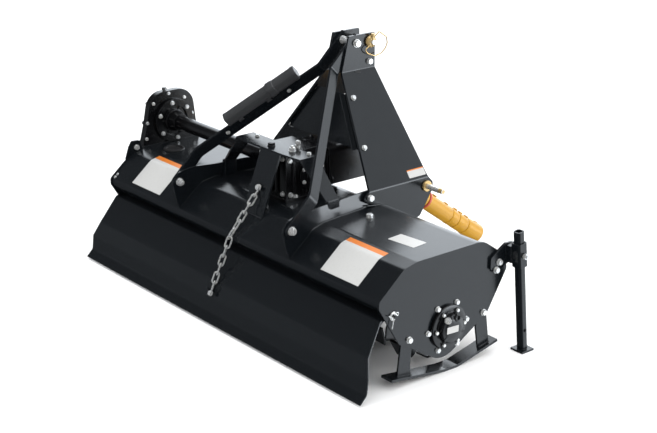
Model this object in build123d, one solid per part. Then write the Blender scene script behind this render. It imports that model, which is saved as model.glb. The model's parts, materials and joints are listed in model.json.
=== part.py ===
from build123d import *
from math import sin, cos, tan, radians, hypot, atan2, sqrt
import os

# Rotary tiller for a tractor's three-point hitch.  Millimetres, +X to the machine's right
# (seen from behind), +Y forward to the tractor, +Z up.  The model is laid out from the
# middle of the machine (X = 0), the rotor axis (Y = 0) and the ground (Z = 0), then moved
# so that the middle of its bounding box's base is the origin.

# ---------------------------------------------------------------- overall sizes
half_width = 889.0        # middle of the machine to the outer face of a side plate
axis_z = 176.0            # rotor axis above the ground
deck_z = 467.0            # top edge of the side plates
rear_y = -331.0           # rearmost edge of the side plates
front_y = 300.0           # foremost edge of the side plates
plate_t = 8.0             # side plate thickness
hood_t = 5.0              # hood sheet
hood_proud = 3.0          # side plate edge stands this far outside the hood sheet
fit_gap = 0.3             # clearance between a piece and its seat
run_gap = 0.05            # running clearance on a radius
bolt_r = 8.0

# ---------------------------------------------------------------- rotor
rotor_r = 168.0           # swing radius of the tines
rotor_tube_r = 38.0
rotor_end_gap = 57.0      # end flange's middle to the side plate's inner face
flange_count = 9
flange_r = 78.0
flange_t = 10.0
stub_r = 25.0
tine_t = 8.0
tine_w = 46.0
tine_reach = 82.0         # axial reach of the L blade
tine_root = 44.0
tine_bend = 20.0
hub_plate_r = 74.0        # opening in the side plate round the bearing hub
hub_flange_r = 108.0
hub_in = 14.0             # hub flange inside the side plate

# ---------------------------------------------------------------- tailgate
tail_t = 4.0
tail_top_half = 876.0     # half width at the hinge, and at the lower part
tail_low_half = 925.0
tail_mid_half = 898.0
rod_r = 7.0
rod_y, rod_z = -265.0, 289.0
knuckle_r = 13.0
knuckle_l = 60.0

# ---------------------------------------------------------------- hitch
mast_t = 10.0
head_in = 43.0            # inner face of a head plate from the centre line
head_rise = 602.0         # top of the head above the deck
bend_rise = 460.0         # upper bend of a hitch plate above the deck
splay_x = 340.0           # outer face of a hitch plate's lower part
splay_rise = 59.0         # lower bend above the deck
hitch_drop = 97.0         # lowest edge of a hitch plate under the deck
head_y0, head_y1 = 192.0, 362.0
top_pin_y, top_pin_rise, top_pin_r = 335.0, 568.0, 9.5
low_pin_y, low_pin_rise, low_pin_r = 392.0, 22.0, 11.0
low_pin_len = 100.0
low_tip = 22.0            # reduced end of a lower pin, with the cross hole
low_shank_r = 12.5        # lower pin inside the hitch plate
brace_t, brace_w = 10.0, 50.0
brace_top_y, brace_top_rise = 265.0, 570.0
ear_x = 362.0             # inner face of an arm's web at the ear
ear_y, ear_rise, ear_r = -320.0, 7.0, 28.0
arm_t = 8.0
arm_rise = 60.0           # top of an arm's web above the hood

# ---------------------------------------------------------------- drive
shaft_y, shaft_rise = 4.0, 92.0   # cross shaft: forward of the rotor axis, above the deck
drive_tube_r = 31.0
case_t = 31.0
cover_t = 9.0
ring_t = 14.0
box_w, box_y0, box_y1 = 170.0, -118.0, 112.0
box_rise = 196.0          # gearbox top above the deck
bracket_t = 8.0
bracket_half = 205.0
bracket_y0, bracket_y1 = -150.0, -58.0
strap_x0, strap_x1 = -30.0, 92.0
input_rise = 99.0         # input shaft above the deck
input_r = 17.5
joint_y = 290.0           # centre of the universal joint
droop = 35.8              # slope of the drive line at rest, degrees
trunnion_r = 11.0
ear_half = 33.0           # half gap between a yoke's ears
ear_plate = 12.0
inner_guard_r = 30.0
guard_t = 5.0
outer_guard_r = 37.0
bell_r = 60.0
mouth_r = 44.0
inner_end = 636.0         # ends along the drive line from the joint's centre
outer_start = 470.0
line_len = 897.0

# ---------------------------------------------------------------- parking stand
stand_out = 54.0          # stand's axis outside the side plate
stand_foot_y = 346.0
stand_lean = 5.5
stand_w = 34.0
stand_wall = 4.0
stand_len = 493.0
sleeve_t = 5.0
sleeve_rise0, sleeve_rise1 = -115.0, -19.0
foot_w = 62.0
foot_t = 8.0
stand_pin_r = 6.0

# ---------------------------------------------------------------- skids
skid_w, skid_t = 60.0, 10.0
skid_out = 10.0           # outer edge of a skid beyond the side plate

# ---------------------------------------------------------------- tailgate chain
chain_pitch = 36.6
chain_wire = 3.2          # radius of the link's wire
chain_bend = 8.5          # radius of a link's end
chain_links, chain_upper = 13, 6
chain_top_x = 22.0
chain_off_top, chain_off_low = 8.0, 13.5    # chain from the strap, and from the tailgate


# ================================================================ helpers
def rounded(points, closed=True):
    """Edges through (a, b, radius) corners, with a tangent arc at each radius."""
    n = len(points)
    ends = []
    for i, (a, b, r) in enumerate(points):
        if not closed and i in (0, n - 1) or r <= 0:
            ends.append(((a, b), None, (a, b)))
            continue
        pa, pb = points[i - 1], points[(i + 1) % n]
        ua = (pa[0] - a, pa[1] - b)
        ub = (pb[0] - a, pb[1] - b)
        la, lb = hypot(*ua), hypot(*ub)
        ua, ub = (ua[0] / la, ua[1] / la), (ub[0] / lb, ub[1] / lb)
        half = atan2(abs(ua[0] * ub[1] - ua[1] * ub[0]), ua[0] * ub[0] + ua[1] * ub[1]) / 2
        if half > radians(89.5):
            ends.append(((a, b), None, (a, b)))
            continue
        run = min(r / tan(half), 0.48 * la, 0.48 * lb)
        rr = run * tan(half)
        bis = (ua[0] + ub[0], ua[1] + ub[1])
        lbis = hypot(*bis)
        reach = rr / sin(half) - rr
        mid = (a + bis[0] / lbis * reach, b + bis[1] / lbis * reach)
        ends.append(((a + ua[0] * run, b + ua[1] * run), mid, (a + ub[0] * run, b + ub[1] * run)))
    edges = []
    for i, (p, mid, q) in enumerate(ends):
        if mid is not None:
            edges.append(ThreePointArc(p, mid, q))
        if i < n - 1 or closed:
            nxt = ends[(i + 1) % n][0]
            if hypot(nxt[0] - q[0], nxt[1] - q[1]) > 1e-4:
                edges.append(Line(q, nxt))
    return edges


def face_of(points):
    return Face(Wire(rounded(points)))


def bent_strip(path, t, side=1):
    """Closed outline of a sheet t thick laid on the left (side=1) of an open path."""
    n = len(path)
    inner = []
    for i, (a, b, r) in enumerate(path):
        ds = []
        if i > 0:
            ds.append((a - path[i - 1][0], b - path[i - 1][1]))
        if i < n - 1:
            ds.append((path[i + 1][0] - a, path[i + 1][1] - b))
        ns = [(-d[1] / hypot(*d) * side, d[0] / hypot(*d) * side) for d in ds]
        if len(ns) == 1:
            inner.append((a + ns[0][0] * t, b + ns[0][1] * t, 0))
        else:
            k = 1 + ns[0][0] * ns[1][0] + ns[0][1] * ns[1][1]
            turn = ds[0][0] * ds[1][1] - ds[0][1] * ds[1][0]
            ri = max(r - t, 0.5) if turn * side > 0 else r + t
            inner.append((a + (ns[0][0] + ns[1][0]) / k * t, b + (ns[0][1] + ns[1][1]) / k * t, ri if r > 0 else 0))
    outer_edges = rounded(path, closed=False)
    inner_edges = rounded(inner, closed=False)
    cap = [Line(path[0][:2], inner[0][:2]), Line(path[-1][:2], inner[-1][:2])]
    return Face(Wire(outer_edges + inner_edges + cap))


def prism_x(face, x0, x1):
    """A (y, z) outline carried along X from x0 to x1."""
    return extrude(Plane.YZ.offset(min(x0, x1)) * face, abs(x1 - x0), dir=(1, 0, 0))


def prism_y(face, y0, y1):
    """An (x, z) outline carried along Y from y0 to y1."""
    pl = Plane(origin=(0, max(y0, y1), 0), x_dir=(1, 0, 0), z_dir=(0, -1, 0))
    return extrude(pl * face, abs(y1 - y0), dir=(0, -1, 0))


def prism_z(face, z0, z1):
    """An (x, y) outline carried up Z from z0 to z1."""
    return extrude(Plane.XY.offset(min(z0, z1)) * face, abs(z1 - z0), dir=(0, 0, 1))


def bar_x(x0, x1, y, z, r):
    return Pos(min(x0, x1), y, z) * Rot(0, 90, 0) * Cylinder(r, abs(x1 - x0), align=(Align.CENTER, Align.CENTER, Align.MIN))


def bar_y(y0, y1, x, z, r):
    return Pos(x, min(y0, y1), z) * Rot(-90, 0, 0) * Cylinder(r, abs(y1 - y0), align=(Align.CENTER, Align.CENTER, Align.MIN))


def bar_z(z0, z1, x, y, r):
    return Pos(x, y, min(z0, z1)) * Cylinder(r, abs(z1 - z0), align=(Align.CENTER, Align.CENTER, Align.MIN))


def cone_y(y0, y1, r0, r1):
    return Pos(0, y0, 0) * Rot(-90, 0, 0) * Cone(r0, r1, y1 - y0, align=(Align.CENTER, Align.CENTER, Align.MIN))


def box(x0, x1, y0, y1, z0, z1):
    return Pos((x0 + x1) / 2, (y0 + y1) / 2, (z0 + z1) / 2) * Box(abs(x1 - x0), abs(y1 - y0), abs(z1 - z0))


def mirrored(shape):
    return mirror(shape, about=Plane.YZ)


parts = {}


def keep(name, *shapes):
    for s in shapes:
        parts.setdefault(name, []).extend(list(s.solids()))


SIDES = (("right", 1), ("left", -1))

# ================================================================ hood and side plates
inner_x = half_width - plate_t
hood_z = deck_z - hood_proud
# rear lip, rear slope, flat deck, rounded front (y, z, bend radius)
hood_path = [
    (rear_y + 30, deck_z - 165, 0),
    (rear_y + 4, deck_z - 136, 12),
    (rear_y + 5, deck_z - 110, 14),
    (rear_y + 118, hood_z - 14, 40),
    (rear_y + 179, hood_z, 40),
    (front_y - 132, hood_z, 90),
    (front_y - 18, deck_z - 82, 30),
    (front_y - 8, deck_z - 134, 25),
    (front_y - 26, deck_z - 164, 0),
]
keep("hood", prism_x(bent_strip(hood_path, hood_t, side=-1), -inner_x, inner_x))
hood_block = prism_x(face_of(hood_path), -inner_x, inner_x)
slope_a = (hood_path[2][0], hood_path[2][1])      # the rear slope's lower and upper ends
slope_b = (hood_path[3][0], hood_path[3][1])


def slope_y(z):
    return slope_a[0] + (slope_b[0] - slope_a[0]) * (z - slope_a[1]) / (slope_b[1] - slope_a[1])


def slope_z(y):
    return slope_a[1] + (slope_b[1] - slope_a[1]) * (y - slope_a[0]) / (slope_b[0] - slope_a[0])


side_outline = [
    (rear_y, deck_z - 111, 18), (rear_y + 115, deck_z - 14, 40), (rear_y + 177, deck_z, 40),
    (front_y - 128, deck_z, 92), (front_y - 12, deck_z - 81, 28), (front_y, deck_z - 136, 25),
    (front_y - 95, axis_z, 12), (-20, axis_z - 136, 100), (-178, axis_z - 36, 14),
    (-232, axis_z - 9, 14), (rear_y, deck_z - 138, 10),
]
left_ear = [(-252, deck_z - 40, 0), (-234, deck_z + 11, 10), (-218, deck_z + 36, 12), (-180, deck_z + 34, 12), (-160, deck_z - 20, 0)]
for side, s in SIDES:
    plate = face_of(side_outline)
    plate = prism_x(plate, s * inner_x, s * half_width)
    if side == "left":
        plate += prism_x(face_of(left_ear), -half_width, -inner_x)
    plate -= bar_x(s * (inner_x - 1), s * (half_width + 1), 0, axis_z, hub_plate_r)
    plate -= bar_x(s * (inner_x - 1), s * (half_width + 1), rod_y, rod_z, rod_r + run_gap)
    keep("side_plate_" + side, plate)

# ================================================================ bearing hubs
hub_x = half_width
hub = bar_x(inner_x - hub_in, inner_x, 0, axis_z, hub_flange_r)
hub += bar_x(inner_x, hub_x, 0, axis_z, hub_plate_r - run_gap)
hub += bar_x(hub_x, hub_x + 14, 0, axis_z, 86)
hub += Pos(hub_x + 14, 0, axis_z) * Rot(0, 90, 0) * Cone(74, 62, 16, align=(Align.CENTER, Align.CENTER, Align.MIN))
hub += bar_x(hub_x + 14, hub_x + 38, 0, axis_z, 34)
for k in range(6):
    a = radians(60 * k + 20)
    hub += bar_x(hub_x + 12, hub_x + 24, 72 * cos(a), axis_z + 72 * sin(a), 10)
hub -= bar_x(inner_x - hub_in - 1, hub_x + 16, 0, axis_z, stub_r + run_gap)
keep("bearing_hub_right", hub)
hub = bar_x(-inner_x + hub_in, -inner_x, 0, axis_z, hub_flange_r)
hub += bar_x(-inner_x, -half_width, 0, axis_z, hub_plate_r - run_gap)
hub -= bar_x(-inner_x + hub_in + 1, -half_width - 1, 0, axis_z, stub_r + run_gap)
keep("bearing_hub_left", hub)

# ================================================================ drive case on the left
shaft_z = deck_z + shaft_rise
case_top = shaft_z + 134
case_outline = [
    (shaft_y - 110, case_top, 95), (shaft_y + 102, case_top, 90), (shaft_y + 120, shaft_z - 18, 60),
    (152, deck_z - 60, 80), (150, axis_z + 110, 80), (118, axis_z - 118, 112), (-118, axis_z - 118, 112),
    (-168, axis_z + 110, 80), (-168, deck_z - 40, 80), (shaft_y - 137, shaft_z, 60),
]
case = prism_x(face_of(case_outline), -half_width, -half_width - case_t)
case -= bar_x(-half_width + 1, -half_width - 22, 0, axis_z, stub_r + run_gap)
keep("drive_case", case)
mid_z = (case_top + axis_z - 118) / 2
cover_outline = [(a * 0.945, mid_z + (b - mid_z) * 0.978, r) for a, b, r in case_outline]
cover = prism_x(face_of(cover_outline), -half_width - case_t, -half_width - case_t - cover_t)
keep("drive_case_cover", cover)
ring = bar_x(-half_width, -half_width + ring_t, shaft_y, shaft_z, 96)
ring -= bar_x(-half_width + 6, -half_width + ring_t + 1, shaft_y, shaft_z, 66)
ring += bar_x(-half_width + 5, -half_width + ring_t + 4, shaft_y, shaft_z, 50)
for k in range(6):
    ring += Pos(0, shaft_y, shaft_z) * Rot(60 * k + 30, 0, 0) * box(-half_width + 5, -half_width + 12, -5, 5, 45, 70)
ring -= box(-half_width - 1, -half_width + 60, -200, 300, 0, deck_z + 0.2)
boss_end = -half_width + ring_t + 48
boss = Pos(-half_width + ring_t + 4, shaft_y, shaft_z) * Rot(0, 90, 0) * Cone(46, drive_tube_r + 6, 44, align=(Align.CENTER, Align.CENTER, Align.MIN))
keep("drive_flange", ring + boss)

# ================================================================ gearbox on the deck
box_x = box_w / 2
box_top = deck_z + box_rise
input_z = deck_z + input_rise
gb_outline = [
    (box_y0, hood_z + 10, 8), (box_y0, box_top - 10, 20), (box_y0 + 30, box_top, 8), (box_y1 - 60, box_top, 20),
    (box_y1, box_top - 50, 30), (box_y1, hood_z + 10, 8),
]
gb = prism_x(face_of(gb_outline), -box_x, box_x)
gb += box(-box_x - 18, box_x + 18, box_y0 - 14, box_y1 + 14, hood_z, hood_z + 14)
gb += bar_x(-box_x - 24, -box_x, shaft_y, shaft_z, 62) + bar_x(box_x, box_x + 16, shaft_y, shaft_z, 62)
gb += bar_y(box_y1, box_y1 + 34, 0, input_z, 52)
for s in (1, -1):
    for y in (-86, 86):
        gb += box(s * box_x, s * (box_x + 8), shaft_y + y - 5, shaft_y + y + 5, hood_z + 12, shaft_z + 60)
keep("gearbox", gb)
keep("drive_tube", bar_x(boss_end, -box_x - 24, shaft_y, shaft_z, drive_tube_r))
yoke_y0 = joint_y - 78
keep("input_shaft", bar_y(box_y1 + 34, yoke_y0 + 22, 0, input_z, input_r))

# ================================================================ arms on the hood
ear_z = deck_z + ear_rise
arm_top = hood_z + arm_rise
tail_y = 168.0            # front end of an arm's web, along the hitch plate
web_front = splay_x - mast_t - arm_t


arms = {}
for side, s in SIDES:
    web_side = [
        (tail_y, hood_z - 30, 0), (0, hood_z - 30, 0), (-213, hood_z - 60, 0), (-322, slope_z(-322), 0),
        (-337, slope_z(-322) + 36, 12), (ear_y - ear_r - 4, ear_z - 6, 10), (ear_y - ear_r * 0.7, ear_z + ear_r * 0.9, 20),
        (ear_y + ear_r * 0.9, arm_top - 3, 30), (-232, arm_top, 0), (tail_y, arm_top, 0),
    ]
    web_plan = [(ear_x, ear_y - ear_r - 12, 0), (ear_x, -235, 60), (web_front, 95, 60), (web_front, tail_y + 1, 0)]
    web_plan = [(s * a, b, r) for a, b, r in web_plan]
    web = prism_x(face_of(web_side), s * 250, s * 450) & prism_z(bent_strip(web_plan, arm_t, side=-s), 200, 700)
    web -= bar_x(s * (ear_x - 1), s * (ear_x + arm_t + 1), ear_y, ear_z, bolt_r + run_gap)
    arms[side] = web - hood_block
    keep("arm_" + side, arms[side])

# ================================================================ hitch plates
head_top, bend_z, splay_z = deck_z + head_rise, deck_z + bend_rise, deck_z + splay_rise
hitch_low = deck_z - hitch_drop
top_pin_z, low_pin_z = deck_z + top_pin_rise, deck_z + low_pin_rise
brace_top_z = deck_z + brace_top_rise
for side, s in SIDES:
    prof = [(head_in + mast_t, head_top, 0), (head_in + mast_t, bend_z, 8), (splay_x, splay_z, 14), (splay_x, hitch_low - 20, 0)]
    prof = [(s * a, b, r) for a, b, r in prof]
    sheet = prism_y(bent_strip(prof, mast_t, side=-s), 40, 480)
    cut = [
        (head_y0 + 35, head_top, 6), (head_y1, head_top, 8), (head_y1, bend_z, 30), (402, splay_z, 25), (430, low_pin_z + 10, 22),
        (424, low_pin_z - 26, 22), (362, hitch_low, 12), (front_y - 6, hitch_low - 24, 0), (150, deck_z - 110, 0),
        (124, hood_z, 0), (62, splay_z - 28, 8), (95, splay_z, 10), (head_y0, bend_z + 3, 20),
    ]
    sheet = sheet & prism_x(face_of(cut), -500, 500)
    sheet -= hood_block
    sheet -= bar_x(s * 20, s * 80, top_pin_y, top_pin_z, top_pin_r + run_gap)
    sheet -= bar_x(s * 20, s * 80, brace_top_y, brace_top_z, bolt_r + run_gap)
    sheet -= bar_x(s * (splay_x - 20), s * (splay_x + 10), low_pin_y, low_pin_z, low_shank_r + run_gap)
    sheet -= arms[side]
    keep("mast_" + side, sheet)
    x0, x1 = s * (splay_x - mast_t), s * splay_x
    tip = x1 + s * (low_pin_len - low_tip)
    pin = bar_x(x1, tip, low_pin_y, low_pin_z, low_pin_r) + bar_x(tip, x1 + s * low_pin_len, low_pin_y, low_pin_z, low_pin_r - 1)
    pin += bar_x(x0 - s * 30, x1 + s * 2, low_pin_y, low_pin_z, low_shank_r)
    pin += bar_x(x1, x1 + s * 10, low_pin_y, low_pin_z, 19)
    pin += bar_x(x0, x0 - s * 16, low_pin_y, low_pin_z, 20)
    pin -= bar_z(low_pin_z - 30, low_pin_z + 30, x1 + s * (low_pin_len - low_tip / 2), low_pin_y, 4.5)
    keep("lower_pin_" + side, pin)

head_out = head_in + mast_t
linch_x = head_out + 18
pin = bar_x(-head_out - 14, linch_x + 10, top_pin_y, top_pin_z, top_pin_r) + bar_x(head_out + 0.5, linch_x - 5, top_pin_y, top_pin_z, 15)
pin += bar_x(-head_out, -head_out - 8, top_pin_y, top_pin_z, 15)
pin -= bar_z(top_pin_z - 30, top_pin_z + 30, linch_x, top_pin_y, 4.5 + run_gap)
keep("top_pin", pin)
linch = bar_z(top_pin_z - 16, top_pin_z + 32, linch_x, top_pin_y, 4.5) + bar_z(top_pin_z + 19, top_pin_z + 31, linch_x, top_pin_y, 7)
linch += Pos(linch_x, top_pin_y + 15, top_pin_z - 10) * Rot(0, 90, 0) * Torus(40, 2.4)
keep("top_linch_pin", linch)

# ================================================================ braces
dy, dz = ear_y - brace_top_y, ear_z - brace_top_z
brace_len = hypot(dy, dz)
uy, uz = dy / brace_len, dz / brace_len
tab_top, tab_low = 145.0, 145.0
for side, s in SIDES:
    xa = s * (head_in - brace_t)
    xb = s * (ear_x + arm_t)
    prof = [(-28, xa, 0), (tab_top, xa, 20), (brace_len - tab_low, xb, 30), (brace_len + 26, xb, 0)]
    face = bent_strip(prof, brace_t, side=s)
    pl = Plane(origin=(0, brace_top_y, brace_top_z), x_dir=(0, uy, uz), z_dir=Vector(0, uy, uz).cross(Vector(1, 0, 0)))
    bar = extrude(pl * face, brace_w / 2, both=True)
    reach = [(-40, 60, 0), (brace_len - 60, 60, 0), (brace_len - 60, brace_w / 2, 0), (brace_len + 26, brace_w / 2, 22)]
    reach = reach + [(a, -b, r) for a, b, r in reversed(reach)]
    bar = bar & prism_x(face_of([(brace_top_y + uy * a - uz * b, brace_top_z + uz * a + uy * b, r) for a, b, r in reach]), -500, 500)
    bar -= bar_x(xb - s, xb + s * (brace_t + 1), ear_y, ear_z, bolt_r + run_gap)
    bar -= bar_x(xa - s, xa + s * (brace_t + 1), brace_top_y, brace_top_z, bolt_r + run_gap)
    keep("brace_" + side, bar)
    bolt = bar_x(s * (ear_x - 12), xb + s * (brace_t + 12), ear_y, ear_z, bolt_r)
    bolt += bar_x(s * ear_x, s * (ear_x - 9), ear_y, ear_z, 13) + bar_x(xb + s * brace_t, xb + s * (brace_t + 9), ear_y, ear_z, 13)
    keep("brace_bolts", bolt)
bolt = bar_x(-head_out - 12, head_out + 12, brace_top_y, brace_top_z, bolt_r)
for s in (1, -1):
    bolt += bar_x(s * head_out, s * (head_out + 9), brace_top_y, brace_top_z, 13)
bolt += bar_x(-(head_in - brace_t), head_in - brace_t, brace_top_y, brace_top_z, 14)
keep("brace_bolts", bolt)

# manual case on the left brace: a square canister along the brace's upper edge
run = Vector(-(ear_x + arm_t + brace_t - head_in), uy * (brace_len - tab_low - tab_top), uz * (brace_len - tab_low - tab_top))
start = Vector(-(head_in - brace_t / 2), brace_top_y + uy * tab_top, brace_top_z + uz * tab_top)
up = Vector(0, uz, -uy)
case_len, case_w, case_h = 352.0, 46.0, 44.0
centre = start + run.normalized() * 268 + up * (brace_w / 2 + case_h / 2)
pl = Plane(origin=centre, x_dir=run.normalized(), z_dir=up)
canister = Box(case_len, case_w, case_h)
canister = fillet(canister.edges().filter_by(Axis.X), 12)
keep("manual_case", pl * canister)

# ================================================================ shield between the hitch plates
def splay_at(z):
    """Inner face of a hitch plate's splayed part at height z."""
    slope = (splay_x - head_out) / (bend_z - splay_z)
    return head_out + slope * (bend_z - z) - mast_t * hypot(1, slope)


def rear_edge(z):
    return head_y0 + (95 - head_y0) * (bend_z + 3 - z) / (bend_z + 3 - splay_z)


sh_low, sh_top = deck_z + 190.0, deck_z + 379.0
tall = hypot(sh_top - sh_low, rear_edge(sh_top) - rear_edge(sh_low))
a0, a1 = splay_at(sh_top) - 1.0, splay_at(sh_low) - 1.0
sh = [(-a1, 0, 0), (a1, 0, 0), (a0, tall, 0), (-a0, tall, 0)]
vec = Vector(0, rear_edge(sh_top) - rear_edge(sh_low), sh_top - sh_low).normalized()
pl = Plane(origin=(0, rear_edge(sh_low) + 16, sh_low), x_dir=(1, 0, 0), z_dir=Vector(1, 0, 0).cross(vec))
keep("input_shield", extrude(pl * face_of(sh), 4, dir=-Vector(1, 0, 0).cross(vec)))

# ================================================================ gearbox bracket
br_top = box_top + bracket_t
strap_foot = (slope_y(deck_z - 42), deck_z - 42)
strap = bent_strip([(bracket_y1, br_top, 0), (bracket_y0, br_top, 8), (strap_foot[0], strap_foot[1], 6), (slope_y(deck_z - 84), deck_z - 84, 0)], bracket_t, side=1)
plate = [(-bracket_half + 12, bracket_y0 + 6, 4), (-130, bracket_y0, 10), (strap_x0 - 8, bracket_y0, 0), (strap_x1 + 8, bracket_y0, 0), (bracket_half, bracket_y0 + 8, 6), (bracket_half, bracket_y1, 0), (-bracket_half, bracket_y1, 0)]
br = prism_z(face_of(plate), box_top, br_top)
br += prism_x(strap, strap_x0, strap_x1)
# legs: (side, foot Y from, foot Y to)
for s, fy0, fy1 in ((1, -116, -58), (-1, -116, -58)):
    foot_x, foot_z = splay_x - 4, arm_top + 6
    slant = hypot(foot_x - bracket_half, br_top - foot_z)
    down = Vector(s * (foot_x - bracket_half), 0, foot_z - br_top) * (1 / slant)
    quad = [(bracket_y0 + 8, 0, 0), (bracket_y1, 0, 0), (fy1, -slant, 0), (fy0, -slant, 0)]
    out = Vector(0, 1, 0).cross(down) * -s
    pl = Plane(origin=(s * bracket_half, 0, br_top), x_dir=(0, 1, 0), z_dir=Vector(0, 1, 0).cross(down * -1))
    br += extrude(pl * face_of(quad), bracket_t, dir=Vector(-s * (br_top - foot_z), 0, -(foot_x - bracket_half)) * (1 / slant))
    br += box(s * (foot_x - bracket_t), s * (web_front + 24), fy0, fy1, hood_z - 4, foot_z)
br -= hood_block
br -= box(-260, 260, -400, 400, br_top, br_top + 40)
for arm in arms.values():
    br -= arm
keep("gearbox_bracket", br)

# ================================================================ drive line
def along(local):
    """Place a shape built along +Y from the joint's centre onto the drooping line."""
    return Pos(0, joint_y, input_z) * Rot(-droop, 0, 0) * local


yoke = bar_y(yoke_y0, joint_y - 40, 0, input_z, 27)
for s in (1, -1):
    yoke += box(s * ear_half, s * (ear_half + ear_plate), joint_y - 56, joint_y, input_z - 19, input_z + 19)
    yoke += bar_x(s * ear_half, s * (ear_half + ear_plate), joint_y, input_z, 19)
yoke += box(-ear_half - ear_plate, ear_half + ear_plate, joint_y - 60, joint_y - 44, input_z - 19, input_z + 19)
yoke -= bar_x(-60, 60, joint_y, input_z, trunnion_r + run_gap)
yoke -= bar_y(yoke_y0 - 1, yoke_y0 + 22, 0, input_z, input_r + run_gap)
keep("input_yoke", yoke)
cross = bar_x(-ear_half - ear_plate, ear_half + ear_plate, 0, 0, trunnion_r) + bar_z(-30, 30, 0, 0, trunnion_r) + Sphere(17)
line_yoke = bar_y(44, 100, 0, 0, 24) + box(-19, 19, 44, 58, -42, 42)
for s in (1, -1):
    line_yoke += box(-19, 19, 0, 56, s * 30, s * 42) + bar_z(s * 30, s * 42, 0, 0, 19)
line_yoke += bar_y(100, inner_end, 0, 0, 13)
keep("cross_and_yoke", along(cross + line_yoke))
guard = cone_y(62, 150, bell_r, 50) + bar_y(150, 162, 0, 0, 40) + bar_y(162, inner_end, 0, 0, inner_guard_r)
guard -= cone_y(61, 146, bell_r - guard_t, 50 - guard_t)
guard -= bar_y(170, inner_end + 1, 0, 0, inner_guard_r - guard_t)
guard -= bar_y(140, 180, 0, 0, 13 + run_gap)
keep("guard_inner", along(guard))
outer = bar_y(outer_start, line_len - 80, 0, 0, outer_guard_r) + cone_y(line_len - 96, line_len, outer_guard_r, mouth_r)
outer += bar_y(outer_start, outer_start + 24, 0, 0, outer_guard_r + 4)
outer -= bar_y(outer_start - 1, line_len - 101, 0, 0, inner_guard_r + fit_gap)
outer -= cone_y(line_len - 86, line_len + 1, outer_guard_r - guard_t + 0.4, mouth_r - guard_t)
outer -= bar_y(line_len - 120, line_len, 0, 0, 19 + run_gap)
keep("guard_outer", along(outer))
end_yoke = bar_y(outer_start + 20, line_len - 70, 0, 0, 19) + bar_y(line_len - 70, line_len + 14, 0, 0, 27)
end_yoke -= bar_y(outer_start + 19, line_len - 74, 0, 0, 13 + run_gap)
end_yoke -= bar_y(line_len - 40, line_len + 15, 0, 0, input_r)
keep("tractor_yoke", along(end_yoke))

# ================================================================ skids
skid_path = [(-274, 34, 0), (-10, 0, 30), (50, 0, 30), (256, 46, 0)]
for side, s in SIDES:
    xo = half_width + skid_out
    xi = xo - skid_w
    bar = prism_x(bent_strip(skid_path, skid_t, side=1), s * xi, s * xo)
    sx1 = inner_x
    sx0 = inner_x - 8
    rear = face_of([(-233, 33, 0), (-174, 26, 0), (-166, axis_z - 42, 10), (-170, axis_z + 20, 20), (-206, axis_z + 20, 20), (-218, axis_z - 18, 10)])
    front = face_of([(172, 30, 0), (226, 42, 0), (210, axis_z - 18, 8), (200, axis_z + 24, 16), (170, axis_z + 24, 16), (156, axis_z - 50, 10)])
    struts = prism_x(rear, s * sx0, s * sx1) + prism_x(front, s * sx0, s * sx1)
    struts -= prism_x(face_of([(-400, -60, 0)] + skid_path + [(400, -60, 0)]), s * (sx0 - 1), s * (sx1 + 1))
    keep("skid_" + side, bar + struts)

# ================================================================ parking stand
stand_x = half_width + stand_out


def stand_at(local):
    """A shape built up Z from the foot's middle, leaned back."""
    return Pos(stand_x, stand_foot_y, 0) * Rot(stand_lean, 0, 0) * local


sl_i = stand_w / 2 + fit_gap
sl_o = sl_i + sleeve_t
sz0, sz1 = deck_z + sleeve_rise0, deck_z + sleeve_rise1
sleeve_bore = box(-sl_i, sl_i, -sl_i, sl_i, sz0 - 90, sz1 + 60)
sleeve = box(-sl_o, sl_o, -sl_o, sl_o, sz0, sz1)
sleeve = fillet(sleeve.edges().filter_by(Axis.Z), 9)
pin_z = (sz0 + sz1) / 2
hole = bar_x(0, sl_o + 1, 0, pin_z, stand_pin_r + run_gap)
lug = box(-stand_out + 9, -sl_i - 1, -26, 14, sz0 + 14, sz1 - 14)
arm = [(front_y - 95, sz0 - 6, 8), (front_y - 95, sz0 + 40, 8), (front_y - 20, sz1 - 12, 12), (front_y + 22, sz1 - 14, 8), (front_y + 22, sz0 + 16, 8), (front_y - 40, sz0 - 12, 12)]
bracket = prism_x(face_of(arm), half_width, half_width + 10) + stand_at(sleeve - hole) + stand_at(lug)
bracket -= stand_at(sleeve_bore)
bracket -= box(inner_x - 20, half_width, 0, 600, 0, deck_z + 200)
keep("stand_bracket", bracket)
keep("stand_pin", stand_at(bar_x(sl_i + 0.5, sl_o + 22, 0, pin_z, stand_pin_r) + bar_x(sl_o + 6, sl_o + 16, 0, pin_z, 11)))
leg = box(-stand_w / 2, stand_w / 2, -stand_w / 2, stand_w / 2, -20, stand_len)
leg = fillet(leg.edges().filter_by(Axis.Z), 11)
wi = stand_w / 2 - stand_wall
inside = box(-wi, wi, -wi, wi, 0, stand_len + 1)
leg -= fillet(inside.edges().filter_by(Axis.Z), 8)
leg -= bar_x(-stand_w, stand_w, 0, 88, 7)
leg = stand_at(leg) - box(stand_x - 60, stand_x + 60, stand_foot_y - 60, stand_foot_y + 60, -60, foot_t / 2)
leg += box(stand_x - foot_w / 2, stand_x + foot_w / 2, stand_foot_y - foot_w / 2, stand_foot_y + foot_w / 2, 0, foot_t)
keep("stand_leg", leg)

# ================================================================ tailgate
top_y, top_z = rod_y - 47, rod_z - 12
tail_path = [(rod_y + 4, rod_z - knuckle_r + 1, 0), (top_y, top_z, 14), (top_y - 76, top_z - 115, 60), (top_y - 98, top_z - 176, 40), (top_y - 105, top_z - 238, 16), (top_y - 135, top_z - 267, 0)]
tail = prism_x(bent_strip(tail_path, tail_t, side=1), -tail_low_half, tail_low_half)
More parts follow.
